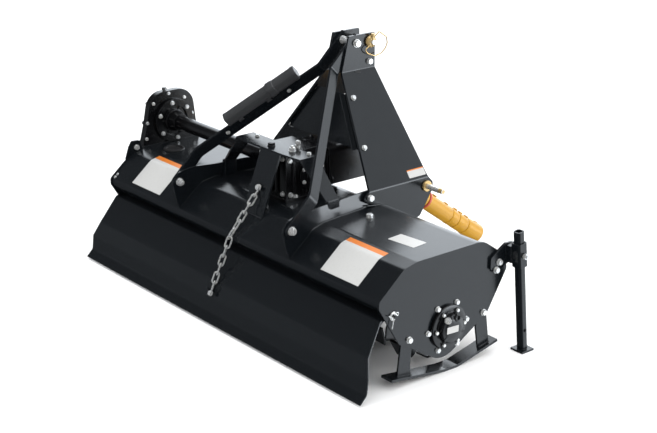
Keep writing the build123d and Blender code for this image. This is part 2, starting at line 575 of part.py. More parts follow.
# ends: the upper part narrows to go between the side plates
ends = [(tail_top_half, rod_z + 40, 0), (tail_top_half, top_z, 0), (tail_mid_half, top_z - 115, 0), (tail_low_half, top_z - 176, 0), (tail_low_half, -20, 0)]
outline = [(-a, b, r) for a, b, r in ends] + [(a, b, r) for a, b, r in reversed(ends)]
tail = tail & prism_y(face_of(outline), -600, 0)
for x in (-tail_top_half, -310, 250, tail_top_half - knuckle_l):
    tail += bar_x(x, x + knuckle_l, rod_y, rod_z, knuckle_r)
tail -= bar_x(-half_width, half_width, rod_y, rod_z, rod_r + run_gap)

# ================================================================ chain from the bracket's strap to the tailgate
def link(p, q, flat):
    """A chain link with its end arcs' centres at p and q, lying square to flat."""
    d = q - p
    ln = d.length
    d = d.normalized()
    n = (flat - d * flat.dot(d)).normalized()
    pl = Plane(origin=p, x_dir=d, z_dir=n)
    w = chain_wire
    body = None
    for s in (1, -1):
        rod = Pos(0, s * chain_bend, 0) * Rot(0, 90, 0) * Cylinder(w, ln, align=(Align.CENTER, Align.CENTER, Align.MIN))
        body = rod if body is None else body + rod
    ring = Torus(chain_bend, w)
    body += ring & box(-30, 0, -30, 30, -30, 30)
    body += (Pos(ln, 0, 0) * ring) & box(ln, ln + 30, -30, 30, -30, 30)
    return pl * body


strap_dir = Vector(0, strap_foot[0] - bracket_y0, strap_foot[1] - br_top).normalized()
strap_out = Vector(0, strap_dir.Z, -strap_dir.Y)
bolt_z = deck_z + 61
bolt_at = Vector(chain_top_x, bracket_y0 + (strap_foot[0] - bracket_y0) * (br_top - bolt_z) / (br_top - strap_foot[1]), bolt_z)
straight = chain_pitch + fit_gap - 2 * (chain_bend - chain_wire)
overlap_mid = (chain_pitch - straight) / 2
p0 = bolt_at + strap_out * chain_off_top
over_lip = Vector(-3, rear_y - 15, deck_z - 117)
knee = p0 + (over_lip - p0).normalized() * (chain_upper * chain_pitch - overlap_mid)
sheet_z = top_z - 159
sheet_y = top_y - 76 - 22 * (115 - 159) / (115 - 176)
sheet_out = Vector(0, -61, 22).normalized()
target = Vector(-42, sheet_y, sheet_z) + sheet_out * chain_off_low
low_dir = (target - knee).normalized()
spot = [p0 + (knee - p0).normalized() * (i * chain_pitch + e) for i in range(chain_upper) for e in (0, straight)]
first = spot[-1] + (knee - p0).normalized() * overlap_mid
low_run = (chain_links - chain_upper) * chain_pitch - overlap_mid
spot += [knee + low_dir * (overlap_mid * 0 + i * chain_pitch + e) for i in range(chain_links - chain_upper) for e in (0, straight)]
for i in range(chain_links):
    flat = (strap_out if i < chain_upper else sheet_out) if i % 2 == 0 else Vector(1, 0, 0)
    keep("tailgate_chain", link(spot[2 * i], spot[2 * i + 1], flat))
end_at = spot[-1]


def stud(at, out, back, front):
    pl = Plane(origin=at - out * back, z_dir=out)
    return pl * (Cylinder(chain_bend - chain_wire - fit_gap, back + front, align=(Align.CENTER, Align.CENTER, Align.MIN))
                 + Pos(0, 0, back + chain_wire + fit_gap) * Cylinder(chain_bend + 2, front - chain_wire - fit_gap, align=(Align.CENTER, Align.CENTER, Align.MIN)))


parts["gearbox_bracket"] = []
top_dir = (knee - p0).normalized()
top_flat = (strap_out - top_dir * strap_out.dot(top_dir)).normalized()
low_flat = (sheet_out - low_dir * sheet_out.dot(low_dir)).normalized()
keep("gearbox_bracket", br + stud(p0, top_flat, chain_off_top + 4, 10))
tail += stud(end_at, low_flat, chain_off_low + 4, 10)
keep("tailgate", tail)
keep("tailgate_rod", bar_x(-half_width - 16, half_width + 16, rod_y, rod_z, rod_r))

# ================================================================ rotor
rotor_x = inner_x - rotor_end_gap
pitch = 2 * rotor_x / (flange_count - 1)
rot = bar_x(-rotor_x - 20, rotor_x + 20, 0, axis_z, rotor_tube_r)
rot += bar_x(-half_width - 20, half_width + 10, 0, axis_z, stub_r)
keep("rotor_shaft", rot)
for i in range(flange_count):
    x = -rotor_x + pitch * i
    disc = bar_x(x - flange_t / 2, x + flange_t / 2, 0, axis_z, flange_r)
    keep("tine_flanges", disc - bar_x(x - flange_t, x + flange_t, 0, axis_z, rotor_tube_r + run_gap))

# one L tine along +Z, bending to +X, built where its flange face is X = 0
top_r = sqrt(rotor_r ** 2 - 58 ** 2)
blade = bent_strip([(0, tine_root, 0), (0, top_r, tine_bend + tine_t), (tine_reach, top_r + 3, 0)], tine_t, side=-1)
blade = prism_y(blade, -80, 80)
edge = [
    (-tine_w / 2, tine_root, 0), (tine_w / 2, tine_root, 0), (tine_w / 2, rotor_r - 62, 40), (2, rotor_r + 30, 0),
    (-90, rotor_r + 30, 0), (-58, rotor_r - 16, 10), (-tine_w / 2, rotor_r - 80, 60),
]
tine = blade & prism_x(face_of(edge), -20, tine_reach + 10)
tine -= bar_x(-20, tine_reach + 20, 0, 0, rotor_tube_r + 1)
tine_l = mirrored(tine)
for i in range(flange_count):
    x = -rotor_x + pitch * i
    turn = 15 * i
    if i == 0:
        hands = [(1, k * 60) for k in range(6)]
    elif i == flange_count - 1:
        hands = [(-1, k * 60) for k in range(6)]
    else:
        hands = [(1, k * 120) for k in range(3)] + [(-1, k * 120 + 60) for k in range(3)]
    for hand, ang in hands:
        t = tine if hand > 0 else tine_l
        keep("tines_right_hand" if hand > 0 else "tines_left_hand",
             Pos(x + hand * flange_t / 2, 0, axis_z) * Rot(turn + ang, 0, 0) * t)

# ================================================================ export
os.makedirs("parts", exist_ok=True)
boxes = [s.bounding_box() for solids in parts.values() for s in solids]
lo = [min(getattr(b.min, c) for b in boxes) for c in "XYZ"]
hi = [max(getattr(b.max, c) for b in boxes) for c in "XYZ"]
shift = (-(lo[0] + hi[0]) / 2, -(lo[1] + hi[1]) / 2, -lo[2])
for name, solids in parts.items():
    moved = [Pos(*shift) * s for s in solids]
    export_step(moved[0] if len(moved) == 1 else Compound(moved), os.path.join("parts", name + ".step"))
print("shift", [round(v, 3) for v in shift], "size", [round(b - a, 1) for a, b in zip(lo, hi)])
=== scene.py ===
"""Looks of a rotary tiller: finishes on the frame's nodes, and the fasteners, welds and fittings on them.

Lengths in the shape functions are millimetres from the machine's middle, the rotor axis and the ground;
at() turns them into metres of the shared frame.
"""
import json
from math import radians

import bmesh
import bpy
import numpy as np
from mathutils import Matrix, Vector
from bpy.props import FloatProperty, FloatVectorProperty, IntProperty, PointerProperty


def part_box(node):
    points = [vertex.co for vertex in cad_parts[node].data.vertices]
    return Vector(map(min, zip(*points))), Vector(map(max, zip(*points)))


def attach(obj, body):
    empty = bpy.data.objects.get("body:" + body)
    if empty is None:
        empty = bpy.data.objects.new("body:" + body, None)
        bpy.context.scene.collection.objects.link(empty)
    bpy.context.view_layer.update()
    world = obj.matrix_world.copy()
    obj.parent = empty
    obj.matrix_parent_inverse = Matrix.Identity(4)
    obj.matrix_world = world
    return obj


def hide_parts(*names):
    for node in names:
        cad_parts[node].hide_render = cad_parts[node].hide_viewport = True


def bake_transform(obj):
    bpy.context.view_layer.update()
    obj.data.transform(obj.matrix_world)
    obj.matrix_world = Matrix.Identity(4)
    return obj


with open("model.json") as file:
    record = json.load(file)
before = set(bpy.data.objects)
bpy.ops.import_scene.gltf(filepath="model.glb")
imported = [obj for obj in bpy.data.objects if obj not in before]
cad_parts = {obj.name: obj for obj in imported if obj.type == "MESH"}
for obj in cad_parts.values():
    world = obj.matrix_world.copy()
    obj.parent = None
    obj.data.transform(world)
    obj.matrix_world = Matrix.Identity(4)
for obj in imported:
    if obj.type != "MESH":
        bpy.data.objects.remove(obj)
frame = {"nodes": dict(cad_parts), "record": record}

bl_info = {
    "name": "Rotary Tiller Looks",
    "version": (1, 0, 0),
    "blender": (4, 5, 0),
    "location": "View3D > Sidebar > Tiller",
    "description": "Finishes, fasteners and fittings of a rotary tiller",
    "category": "Object",
}


# ------------------------------------------------------------------ measures
def middle_of(node, axis):
    """Middle of a node's box along one axis, in metres."""
    low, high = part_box(node)
    return (low[axis] + high[axis]) / 2


ORIGIN = np.array([middle_of("hood", 0), middle_of("rotor_shaft", 1), 0.0])
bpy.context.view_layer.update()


def at(points):
    """Millimetres from the machine's middle, rotor axis and ground, as metres in the shared frame."""
    return np.atleast_2d(np.asarray(points, float)) * 0.001 + ORIGIN


def mm(node):
    """Lowest and highest corner of a node, in the millimetres that at() takes."""
    return [(np.array(c) - ORIGIN) * 1000 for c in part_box(node)]


def unit(v):
    """The direction of v, or of each row of v."""
    v = np.asarray(v, float)
    return v / np.linalg.norm(v, axis=-1, keepdims=True)


def frames(axes, spin=0.0):
    """Two directions square to each axis and to each other, turned about it by spin."""
    axes = unit(np.atleast_2d(axes))
    helper = np.where(np.abs(axes[:, 2:3]) > 0.9, [[1.0, 0, 0]], [[0, 0, 1.0]])
    u = unit(np.cross(helper, axes))
    v = np.cross(axes, u)
    c, s = np.reshape(np.cos(spin), (-1, 1)), np.reshape(np.sin(spin), (-1, 1))
    return u * c + v * s, v * c - u * s, axes


def circle(turns):
    """That many directions round a full turn, in radians."""
    return np.linspace(0, 2 * np.pi, turns, endpoint=False)


def distances(path):
    """How far along a path each of its points lies."""
    return np.concatenate([[0], np.cumsum(np.linalg.norm(np.diff(path, axis=0), axis=1))])


# ------------------------------------------------------------------ surfaces
def quads(rows, cols, wrap_rows=False, wrap_cols=True):
    """Faces between neighbours of a rows by cols grid of points."""
    i, j = np.meshgrid(np.arange(rows - (not wrap_rows)), np.arange(cols - (not wrap_cols)), indexing="ij")
    i2, j2 = (i + 1) % rows, (j + 1) % cols
    return np.stack([i * cols + j, i * cols + j2, i2 * cols + j2, i2 * cols + j], -1).reshape(-1, 4)


def lathe(profile, centre, axis, turns=48, closed=False):
    """A profile of (radius r, height h) turned about an axis A through C: P = C + h A + r (cos t U + sin t
    V)."""
    profile = np.asarray(profile, float)
    t = circle(turns)
    u, v, a = (k[0] for k in frames([axis]))
    ring = np.cos(t)[:, None] * u + np.sin(t)[:, None] * v
    p = np.asarray(centre, float) + profile[:, None, 1:2] * a + profile[:, None, 0:1] * ring[None]
    return p.reshape(-1, 3), quads(len(profile), turns, wrap_rows=closed)


def stack(radii, heights, places, axes, spins):
    """Rings of radius R(i, t) at heights h(i), set at each place C: P = C + h A + R (cos t U + sin t V)."""
    places, n = np.atleast_2d(places), radii.shape[1]
    axes = np.broadcast_to(np.atleast_2d(axes), places.shape)
    t = circle(n)
    h = np.broadcast_to(np.asarray(heights, float)[:, None], radii.shape)
    local = np.stack([radii * np.cos(t), radii * np.sin(t), h], -1).reshape(-1, 3)
    p = places[:, None, :] + np.einsum("pk,mkd->mpd", local, np.stack(frames(axes, spins), 1))
    offset = np.arange(len(places))[:, None, None] * len(local)
    return p.reshape(-1, 3), (quads(len(radii), n)[None] + offset).reshape(-1, 4)


def sweep(path, radius, turns=12, closed=False, up=(0, 0, 1)):
    """A circle of radius r(s) carried along a path C(s): P = C + r (cos t N + sin t B), N being up made
    square to the path and B square to both."""
    path, up = np.asarray(path, float), np.asarray(up, float)
    d = unit(np.roll(path, -1, 0) - np.roll(path, 1, 0) if closed else np.gradient(path, axis=0))
    n = unit(np.broadcast_to(up, d.shape) - (d @ up)[:, None] * d)
    b = np.cross(d, n)
    r = np.broadcast_to(np.asarray(radius, float), (len(path),))
    if not closed:
        path, n, b = (np.concatenate([k[:1], k, k[-1:]]) for k in (path, n, b))
        r = np.concatenate([[0], r, [0]])
    t = circle(turns)[None, :, None]
    p = path[:, None] + r[:, None, None] * (np.cos(t) * n[:, None] + np.sin(t) * b[:, None])
    return p.reshape(-1, 3), quads(len(path), turns, wrap_rows=closed)


def rounded_rectangle(w, h, corner, steps=6):
    """Outline of a w by h rectangle: each quarter turn's arc of the corner's radius, moved out to its own
    corner."""
    quarter, share = np.divmod(np.arange(4 * steps), steps)
    t = (quarter + share / (steps - 1)) * np.pi / 2
    x = np.array([1, -1, -1, 1])[quarter] * (w / 2 - corner) + corner * np.cos(t)
    y = np.array([1, 1, -1, -1])[quarter] * (h / 2 - corner) + corner * np.sin(t)
    return np.stack([x, y], 1)


def slab(outline, centre, u, v, thick, edge=0.4):
    """A flat piece: its outline shrunk by k(i) at heights h(i): P = C + k (x U + y V) + h N, closed over
    both faces. The third result is its own flat coordinates."""
    u, v = unit(u), unit(v)
    k = np.array([0, 1, 1, 1 - edge / np.abs(outline).max(), 0])
    h = np.array([0, 0, thick - edge, thick, thick])
    xy = k[:, None, None] * outline[None]
    p = np.asarray(centre, float) + xy[..., :1] * u + xy[..., 1:] * v + h[:, None, None] * np.cross(u, v)
    return p.reshape(-1, 3), quads(5, len(outline)), (xy / np.ptp(outline, axis=0) + 0.5).reshape(-1, 2)


def bent(corners, steps=8):
    """A line through (a, b, radius) corners; each inner corner gives way to the arc that touches both its
    sides."""
    line = [np.array(corners[0][:2], float)]
    for before, here, after in zip(corners, corners[1:], corners[2:]):
        p, r = np.array(here[:2], float), here[2]
        a, b = unit(np.array(before[:2]) - p), unit(np.array(after[:2]) - p)
        half = np.arccos(np.clip(a @ b, -1, 1)) / 2
        middle = p + unit(a + b) * r / np.sin(half)
        start, end = p + a * r / np.tan(half) - middle, p + b * r / np.tan(half) - middle
        k = np.linspace(0, 1, steps)[:, None]
        line.extend(middle + unit(start * (1 - k) + end * k) * r)
    line.append(np.array(corners[-1][:2], float))
    return np.array(line)


def ribbon(path, outline, side):
    """A closed outline (a, b) carried along a path C(s): P = C + a U + b N, U the given side and N square
    to it and to the path, closed at both ends. The third result runs across a and along the path."""
    path, side = np.asarray(path, float), np.broadcast_to(side, np.shape(path))
    ahead = unit(np.gradient(path, axis=0))
    side = unit(side - (side * ahead).sum(1, keepdims=True) * ahead)
    up = np.cross(side, ahead)
    k = np.ones(len(path) + 2)
    k[[0, -1]] = 0
    path, side, up = (np.concatenate([m[:1], m, m[-1:]]) for m in (path, side, up))
    middle = outline.mean(0)
    a, b = (middle + k[:, None, None] * (outline - middle)).transpose(2, 0, 1)
    p = path[:, None] + a[..., None] * side[:, None] + b[..., None] * up[:, None]
    run = distances(path)
    uv = np.stack([(a - a.min()) / np.ptp(a), np.broadcast_to((run / run[-1])[:, None], a.shape)], -1)
    return p.reshape(-1, 3), quads(len(path), len(outline)), uv.reshape(-1, 2)


def strip(width, thick, edge=0.4):
    """Outline of a flat strip, its corners turned to a small radius."""
    return rounded_rectangle(width, thick, min(edge, thick / 2.01), 3)


def plate_between(low, high, thick, side):
    """A standing plate between a lower and an upper line of the same stations: at each station a ring of
    half the thickness to each side of the line, with one point just under its top, the ends drawn to a
    point."""
    low, high = (np.asarray(k, float) for k in (low, high))
    half = np.asarray(side, float) * thick / 2
    near_top = (low + half) * 0.02 + (high + half) * 0.98
    ring = np.stack([low - half, low + half, near_top, high + half, high - half], 1)
    middle = np.broadcast_to(ring.mean(1, keepdims=True), ring.shape)
    ring = np.concatenate([middle[:1], ring, middle[-1:]])
    return ring.reshape(-1, 3), quads(len(ring), ring.shape[1])


def cover_of(outside, inside, stations):
    """A sheet between two (x, z) lines of as many points, run from station to station along Y and closed at
    both ends along its middle."""
    outline = np.concatenate([outside, inside[::-1]])
    rings = np.stack([np.insert(outline, 1, y, axis=1) for y in stations])
    half = len(outside)
    middle = 0.5 * (rings[:, :half] + rings[:, half:][:, ::-1])
    middle = np.concatenate([middle, middle[:, ::-1]], 1)
    rings = np.concatenate([middle[:1], rings, middle[-1:]])
    return rings.reshape(-1, 3), quads(len(rings), len(outline))


def weld(path, radius=None):
    """A bead along a path C(s), its radius rippling: r = R (1 + 0.13 |sin(1.6 s / R)| + 0.05 sin(0.37 s /
    R))."""
    radius = radius or bpy.context.scene.tiller_sizes.weld
    path = np.asarray(path, float)
    run = distances(path)
    s = np.linspace(0, run[-1], max(6, int(run[-1] / radius * 2.2)))
    c = np.stack([np.interp(s, run, path[:, i]) for i in range(3)], 1)
    wobble = 1 + 0.13 * np.abs(np.sin(s / radius * 1.6)) + 0.05 * np.sin(s / radius * 0.37)
    along = unit(np.gradient(c, axis=0))[len(c) // 2]
    return sweep(c, radius * wobble, turns=8, up=unit(np.cross(along, [0.31, 0.55, 0.77])))


def stadium(half, radius, steps=9):
    """A link's middle line: two half circles of that radius, their centres half a length to each side."""
    t = np.linspace(-np.pi / 2, np.pi / 2, steps)
    end = np.stack([half + radius * np.cos(t), radius * np.sin(t)], 1)
    return np.concatenate([end, -end])


def joined(*shapes):
    """Several (points, faces) as one."""
    counts = np.cumsum([0] + [len(shape[0]) for shape in shapes[:-1]])
    faces = [shape[1] + count for shape, count in zip(shapes, counts)]
    return np.concatenate([shape[0] for shape in shapes]), np.concatenate(faces)


def make(name, shape, body, slot, look=None, sharp=40.0):
    """A mesh object of that shape, its seams and poles merged and its faces turned outwards, riding on a
    body. A shape's third part, where it has one, becomes its flat coordinates."""
    mesh = bpy.data.meshes.new(name)
    mesh.from_pydata(at(shape[0]).tolist(), [], shape[1].tolist())
    if len(shape) > 2:
        layer = mesh.uv_layers.new(name="flat")
        corner = np.empty(len(mesh.loops), np.int32)
        mesh.loops.foreach_get("vertex_index", corner)
        layer.data.foreach_set("uv", shape[2][corner].astype(np.float32).ravel())
    bm = bmesh.new()
    bm.from_mesh(mesh)
    bmesh.ops.remove_doubles(bm, verts=bm.verts, dist=2e-6)
    bmesh.ops.dissolve_degenerate(bm, edges=bm.edges, dist=1e-7)
    bmesh.ops.recalc_face_normals(bm, faces=bm.faces)
    bm.to_mesh(mesh)
    bm.free()
    if not len(mesh.polygons):
        raise RuntimeError(f"{name} has no faces")
    mesh.shade_smooth()
    mesh.set_sharp_from_angle(angle=radians(sharp))
    obj = bpy.data.objects.new(name, mesh)
    bpy.context.scene.collection.objects.link(obj)
    mesh.materials.append(look or finish_of(slot))
    if body:
        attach(obj, body)
    return obj


# ------------------------------------------------------------------ shader nodes
FLOAT, COLOUR, VECTOR = "NodeSocketFloat", "NodeSocketColor", "NodeSocketVector"


def node(tree, kind, inputs=None, **props):
    """A shader node with its settings, and its inputs set to values or joined to other nodes' sockets."""
    made = tree.nodes.new(kind)
    for key, value in props.items():
        setattr(made, key, value)
    for key, value in (inputs or {}).items():
        if isinstance(value, bpy.types.NodeSocket):
            tree.links.new(value, made.inputs[key])
        else:
            made.inputs[key].default_value = value
    return made


def maths(tree, operation, *terms, clamp=False):
    """The result of a sum on sockets or numbers."""
    made = node(tree, "ShaderNodeMath", dict(enumerate(terms)), operation=operation, use_clamp=clamp)
    return made.outputs[0]


def noise(tree, where, scale, detail, roughness=0.5, distortion=0.0):
    """Cloudy noise between 0 and 1."""
    return node(tree, "ShaderNodeTexNoise", {
        "Vector": where, "Scale": scale, "Detail": detail, "Roughness": roughness,
        "Distortion": distortion}).outputs["Fac"]


def ramp(tree, value, start, full, top=1.0, smooth=False):
    """0 until start, top from full on, straight or smooth in between."""
    kind = "SMOOTHSTEP" if smooth else "LINEAR"
    inputs = {"Value": value, 1: start, 2: full, 3: 0.0, 4: top}
    return node(tree, "ShaderNodeMapRange", inputs, interpolation_type=kind, clamp=True).outputs[0]


def dot(tree, a, b):
    """Cosine of the angle between two directions."""
    return node(tree, "ShaderNodeVectorMath", {0: a, 1: b}, operation="DOT_PRODUCT").outputs["Value"]


def mixed(tree, factor, a, b):
    """Colour a giving way to colour b."""
    return node(tree, "ShaderNodeMix", {"Factor": factor, 6: a, 7: b}, data_type="RGBA").outputs[2]


def rgba(colour):
    """A colour with its fourth number."""
    return (*colour[:3], 1.0)


def new_group(name, **inputs):
    """A node group with named sockets and their defaults, and the four outputs that every skin has."""
    group = bpy.data.node_groups.new(name, "ShaderNodeTree")
    for title, default in inputs.items():
        kind = COLOUR if isinstance(default, tuple) else FLOAT
        group.interface.new_socket(title, in_out="INPUT", socket_type=kind).default_value = default
    for title, kind in (("Color", COLOUR), ("Roughness", FLOAT), ("Height", FLOAT), ("Normal", VECTOR)):
        group.interface.new_socket(title, in_out="OUTPUT", socket_type=kind)
    return group, group.nodes.new("NodeGroupInput").outputs, group.nodes.new("NodeGroupOutput")


def new_material(name):
    """An empty node material and its tree."""
    material = bpy.data.materials.new(name)
    material.use_nodes = True
    material.node_tree.nodes.clear()
    return material, material.node_tree


def link_outputs(group, output, **sockets):
    """Joins sockets to the outputs of their names."""
    for title, socket in sockets.items():
        group.links.new(socket, output.inputs[title])


def paint_skin():
    """Powder coat: colour that drifts a little, a fine orange peel, settled dust on what faces up, smudges
    in the gloss, and edges turned to a small radius where the coat catches the light, their colour also
    lightened towards a pale grey as a painted highlight."""
    g, i, o = new_group("Paint skin", Color=(0.03, 0.03, 0.03, 1), Roughness=0.3, Drift=0.25, Dust=0.1,
                        Edge=0.5, Radius=0.0015, Peel=0.3)
    # dust's colour, and the pale grey of the painted highlight along edges
    dust_colour, edge_highlight_colour = (0.22, 0.21, 0.195, 1), (0.20, 0.205, 0.22, 1)
    where = node(g, "ShaderNodeTexCoord").outputs["Object"]
    broad = noise(g, where, 3.1, 4.0, 0.6)
    smudge = noise(g, where, 21.0, 6.0, 0.7)
    speck = noise(g, where, 140.0, 3.0, 0.6)
    peel = noise(g, where, 330.0, 2.0)
    facing = node(g, "ShaderNodeNewGeometry").outputs["Normal"]
    rounded = node(g, "ShaderNodeBevel", {"Radius": i["Radius"]}, samples=4).outputs[0]
    # mask of the rounded edges, for the painted highlight that lightens their colour
    edge = maths(g, "MULTIPLY", ramp(g, dot(g, rounded, facing), 0.995, 0.80, smooth=True), i["Edge"])
    drift = maths(g, "MULTIPLY_ADD", maths(g, "SUBTRACT", broad, 0.5), i["Drift"], 1.0)
    base = node(g, "ShaderNodeVectorMath", {0: i["Color"], "Scale": drift}, operation="SCALE").outputs[0]
    up = node(g, "ShaderNodeSeparateXYZ", {0: facing}).outputs["Z"]
    fleck = maths(g, "MULTIPLY", ramp(g, speck, 0.52, 0.72), 0.6)
    cover = maths(g, "ADD", fleck, maths(g, "MULTIPLY", smudge, 0.8))
    dust = maths(g, "MULTIPLY", maths(g, "MULTIPLY", cover, ramp(g, up, 0.3, 0.98)), i["Dust"], clamp=True)
    tone = mixed(g, dust, base, dust_colour)
    # painted highlight: the colour is lightened towards a pale grey along the rounded edges
    tone = mixed(g, maths(g, "MULTIPLY", edge, 0.35), tone, edge_highlight_colour)
    smudged = maths(g, "MULTIPLY", maths(g, "SUBTRACT", smudge, 0.5), 0.12)
    rough = maths(g, "ADD", i["Roughness"], smudged)
    rough = maths(g, "ADD", rough, maths(g, "MULTIPLY", dust, 0.5), clamp=True)
    peel = maths(g, "MULTIPLY", peel, i["Peel"])
    link_outputs(g, o, Color=tone, Roughness=rough, Height=peel, Normal=rounded)
    return g


def metal_skin():
    """Plated or turned metal: two tints that drift into each other, fine scratches, and dull patches."""
    g, i, o = new_group("Metal skin", Color=(0.6, 0.6, 0.6, 1), Tint=(0.5, 0.5, 0.5, 1), Roughness=0.3,
                        Grime=0.2, Radius=0.0006)
    grime_colour = (0.05, 0.045, 0.04, 1)
    where = node(g, "ShaderNodeTexCoord").outputs["Object"]
    cloud = noise(g, where, 55.0, 3.0, 0.6, distortion=0.6)
    dull = noise(g, where, 24.0, 5.0, 0.65)
    grain = noise(g, where, 900.0, 2.0)
    rounded = node(g, "ShaderNodeBevel", {"Radius": i["Radius"]}, samples=4).outputs[0]
    tone = mixed(g, ramp(g, cloud, 0.35, 0.65, smooth=True), i["Color"], i["Tint"])
    dirt = ramp(g, dull, 0.5, 0.8)
    tone = mixed(g, maths(g, "MULTIPLY", dirt, i["Grime"]), tone, grime_colour)
    rough = maths(g, "ADD", i["Roughness"], maths(g, "MULTIPLY", dirt, 0.3), clamp=True)
    grain = maths(g, "MULTIPLY", grain, 0.3)
    link_outputs(g, o, Color=tone, Roughness=rough, Height=grain, Normal=rounded)
    return g


# ------------------------------------------------------------------ finishes
def skinned(name, skin_name, build, values, metallic=0.0, bump=0.00004):
    """A material whose Principled shader takes colour, gloss and relief from one of the skins, made once."""
    material = bpy.data.materials.get(name)
    if material:
        return material
    material, tree = new_material(name)
    group = bpy.data.node_groups.get(skin_name) or build()
    skin = node(tree, "ShaderNodeGroup", node_tree=group)
    for key, value in values.items():
        skin.inputs[key].default_value = value
    skin = skin.outputs
    relief = node(tree, "ShaderNodeBump", {
        "Height": skin["Height"], "Normal": skin["Normal"], "Strength": 1.0, "Distance": bump}).outputs[0]
    shader = node(tree, "ShaderNodeBsdfPrincipled", {
        "Base Color": skin["Color"], "Roughness": skin["Roughness"], "Metallic": metallic, "Normal": relief})
    node(tree, "ShaderNodeOutputMaterial", {"Surface": shader.outputs[0]})
    return material


def painted(name, colour, roughness, drift, dust, edge, radius, peel, bump=0.00004):
    """A painted or moulded finish."""
    # the edge value sets the painted highlight that lightens the colour along rounded edges
    values = {"Color": rgba(colour), "Roughness": roughness, "Drift": drift, "Dust": dust, "Edge": edge,
              "Radius": radius, "Peel": peel}
    return skinned(name, "Paint skin", paint_skin, values, bump=bump)


def plated(name, colour, tint, roughness, grime, metallic):
    """A plated or turned finish."""
    values = {"Color": rgba(colour), "Tint": rgba(tint), "Roughness": roughness, "Grime": grime}
    return skinned(name, "Metal skin", metal_skin, values, metallic=metallic)


def graphite_paint():
    """Powder coat of the sheet metal."""
    c = bpy.context.scene.tiller_colours
    return painted("Graphite powder coat", c.graphite, c.graphite_roughness, 0.25, 0.012, 0.6, 0.0016, 0.25)


def gloss_black():
    """Enamel on the gearbox and the drive case, with the castings' rough skin under it."""
    c = bpy.context.scene.tiller_colours
    return painted("Black enamel on castings", c.casting, 0.2, 0.3, 0.004, 0.3, 0.003, 1.2, bump=0.00012)


def tine_steel():
    """Paint on the tines."""
    c = bpy.context.scene.tiller_colours
    return painted("Black paint on spring steel", c.tine, 0.36, 0.5, 0.01, 0.5, 0.0015, 0.8)


def black_plastic():
    """Moulded plastic of the manual case."""
    c = bpy.context.scene.tiller_colours
    return painted("Moulded black plastic", c.plastic, 0.38, 0.15, 0.02, 0.15, 0.0015, 0.8)


def guard_yellow():
    """Moulded plastic of the drive line's guards."""
    c = bpy.context.scene.tiller_colours
    return painted("Moulded yellow plastic", c.guard, 0.36, 0.12, 0.03, 0.05, 0.0012, 0.5)


def red_plastic():
    """Moulded plastic of the guard's bearing ring."""
    return painted("Moulded red plastic", (0.42, 0.06, 0.03), 0.4, 0.15, 0.03, 0.1, 0.001, 0.5)


def black_rubber():
    """Rubber, nearly black."""
    return painted("Black rubber", (0.008, 0.008, 0.009), 0.5, 0.2, 0.02, 0.1, 0.001, 0.6)


def zinc():
    """Bright plate on the bolts."""
    return plated("Bright zinc plate", (0.78, 0.78, 0.75), (0.66, 0.67, 0.68), 0.25, 0.3, 0.7)


def yellow_zinc():
    """Yellow plate on the pins."""
    return plated("Yellow zinc plate", (0.66, 0.44, 0.17), (0.55, 0.42, 0.22), 0.26, 0.2, 0.6)


def shaft_steel():
    """Bare turned steel."""
    return plated("Turned steel", (0.22, 0.22, 0.22), (0.15, 0.15, 0.15), 0.32, 0.5, 0.8)


FINISHES = {look.__name__: look for look in (
    graphite_paint, gloss_black, tine_steel, black_plastic, guard_yellow, zinc, yellow_zinc, shaft_steel)}


def finish_of(slot):
    """The finish for one of the record's material slots."""
    return FINISHES[slot]()


def slot_of(name):
    """The record's material slot of a CAD node."""
    for part in frame["record"]["subparts"]:
        if part["node"] == name:
            return part["material_slot"]
    raise RuntimeError(f"the record has no node {name}")


def label_finish(banded):
    """Blank vinyl: a white field, with or without a coloured band along its upper edge, lightly soiled. The
    band is a step in the piece's own upward coordinate."""
    name = "Blank banded label" if banded else "Blank white label"
    material = bpy.data.materials.get(name)
    if material:
        return material
    c = bpy.context.scene.tiller_colours
    material, tree = new_material(name)
    soil_colour, band_start = (0.32, 0.31, 0.30, 1), 0.86
    flat = node(tree, "ShaderNodeUVMap", uv_map="flat").outputs[0]
    height = node(tree, "ShaderNodeSeparateXYZ", {0: flat}).outputs["Y"]
    band = ramp(tree, height, band_start - 0.005, band_start + 0.005)
    where = node(tree, "ShaderNodeTexCoord").outputs["Object"]
    soil = noise(tree, where, 90.0, 5.0, 0.7)
    field = mixed(tree, band, rgba(c.label), rgba(c.band if banded else c.label))
    field = mixed(tree, ramp(tree, soil, 0.5, 0.8, top=0.25), field, soil_colour)
    relief = node(tree, "ShaderNodeBump", {"Height": soil, "Strength": 0.4, "Distance": 0.0001}).outputs[0]
    shader = node(tree, "ShaderNodeBsdfPrincipled", {
        "Base Color": field, "Roughness": 0.34, "Normal": relief})
    node(tree, "ShaderNodeOutputMaterial", {"Surface": shader.outputs[0]})
    return material


# ------------------------------------------------------------------ settings
def colour(name, description, default):
    """A colour setting."""
    return FloatVectorProperty(name=name, description=description, subtype="COLOR", size=3, min=0, max=1,
                               default=default)


class TillerColours(bpy.types.PropertyGroup):
    """Colours of the finishes"""
    graphite: colour("Powder coat", "Colour of the sheet metal", (0.0040, 0.0052, 0.0066))
    graphite_roughness: FloatProperty(name="Powder coat roughness", description="Gloss of the sheet metal",
                                      default=0.2, min=0, max=1)
    casting: colour("Castings", "Colour of the gearbox and drive case", (0.0022, 0.0022, 0.0026))
    tine: colour("Tines", "Colour of the tines", (0.0045, 0.0045, 0.0050))
    plastic: colour("Manual case", "Colour of the manual case", (0.030, 0.031, 0.033))
    guard: colour("Drive line guard", "Colour of the guard", (0.50, 0.255, 0.008))
    label: colour("Label", "Field of the blank labels", (0.46, 0.46, 0.45))
    band: colour("Label band", "Band of the blank labels", (0.56, 0.15, 0.010))


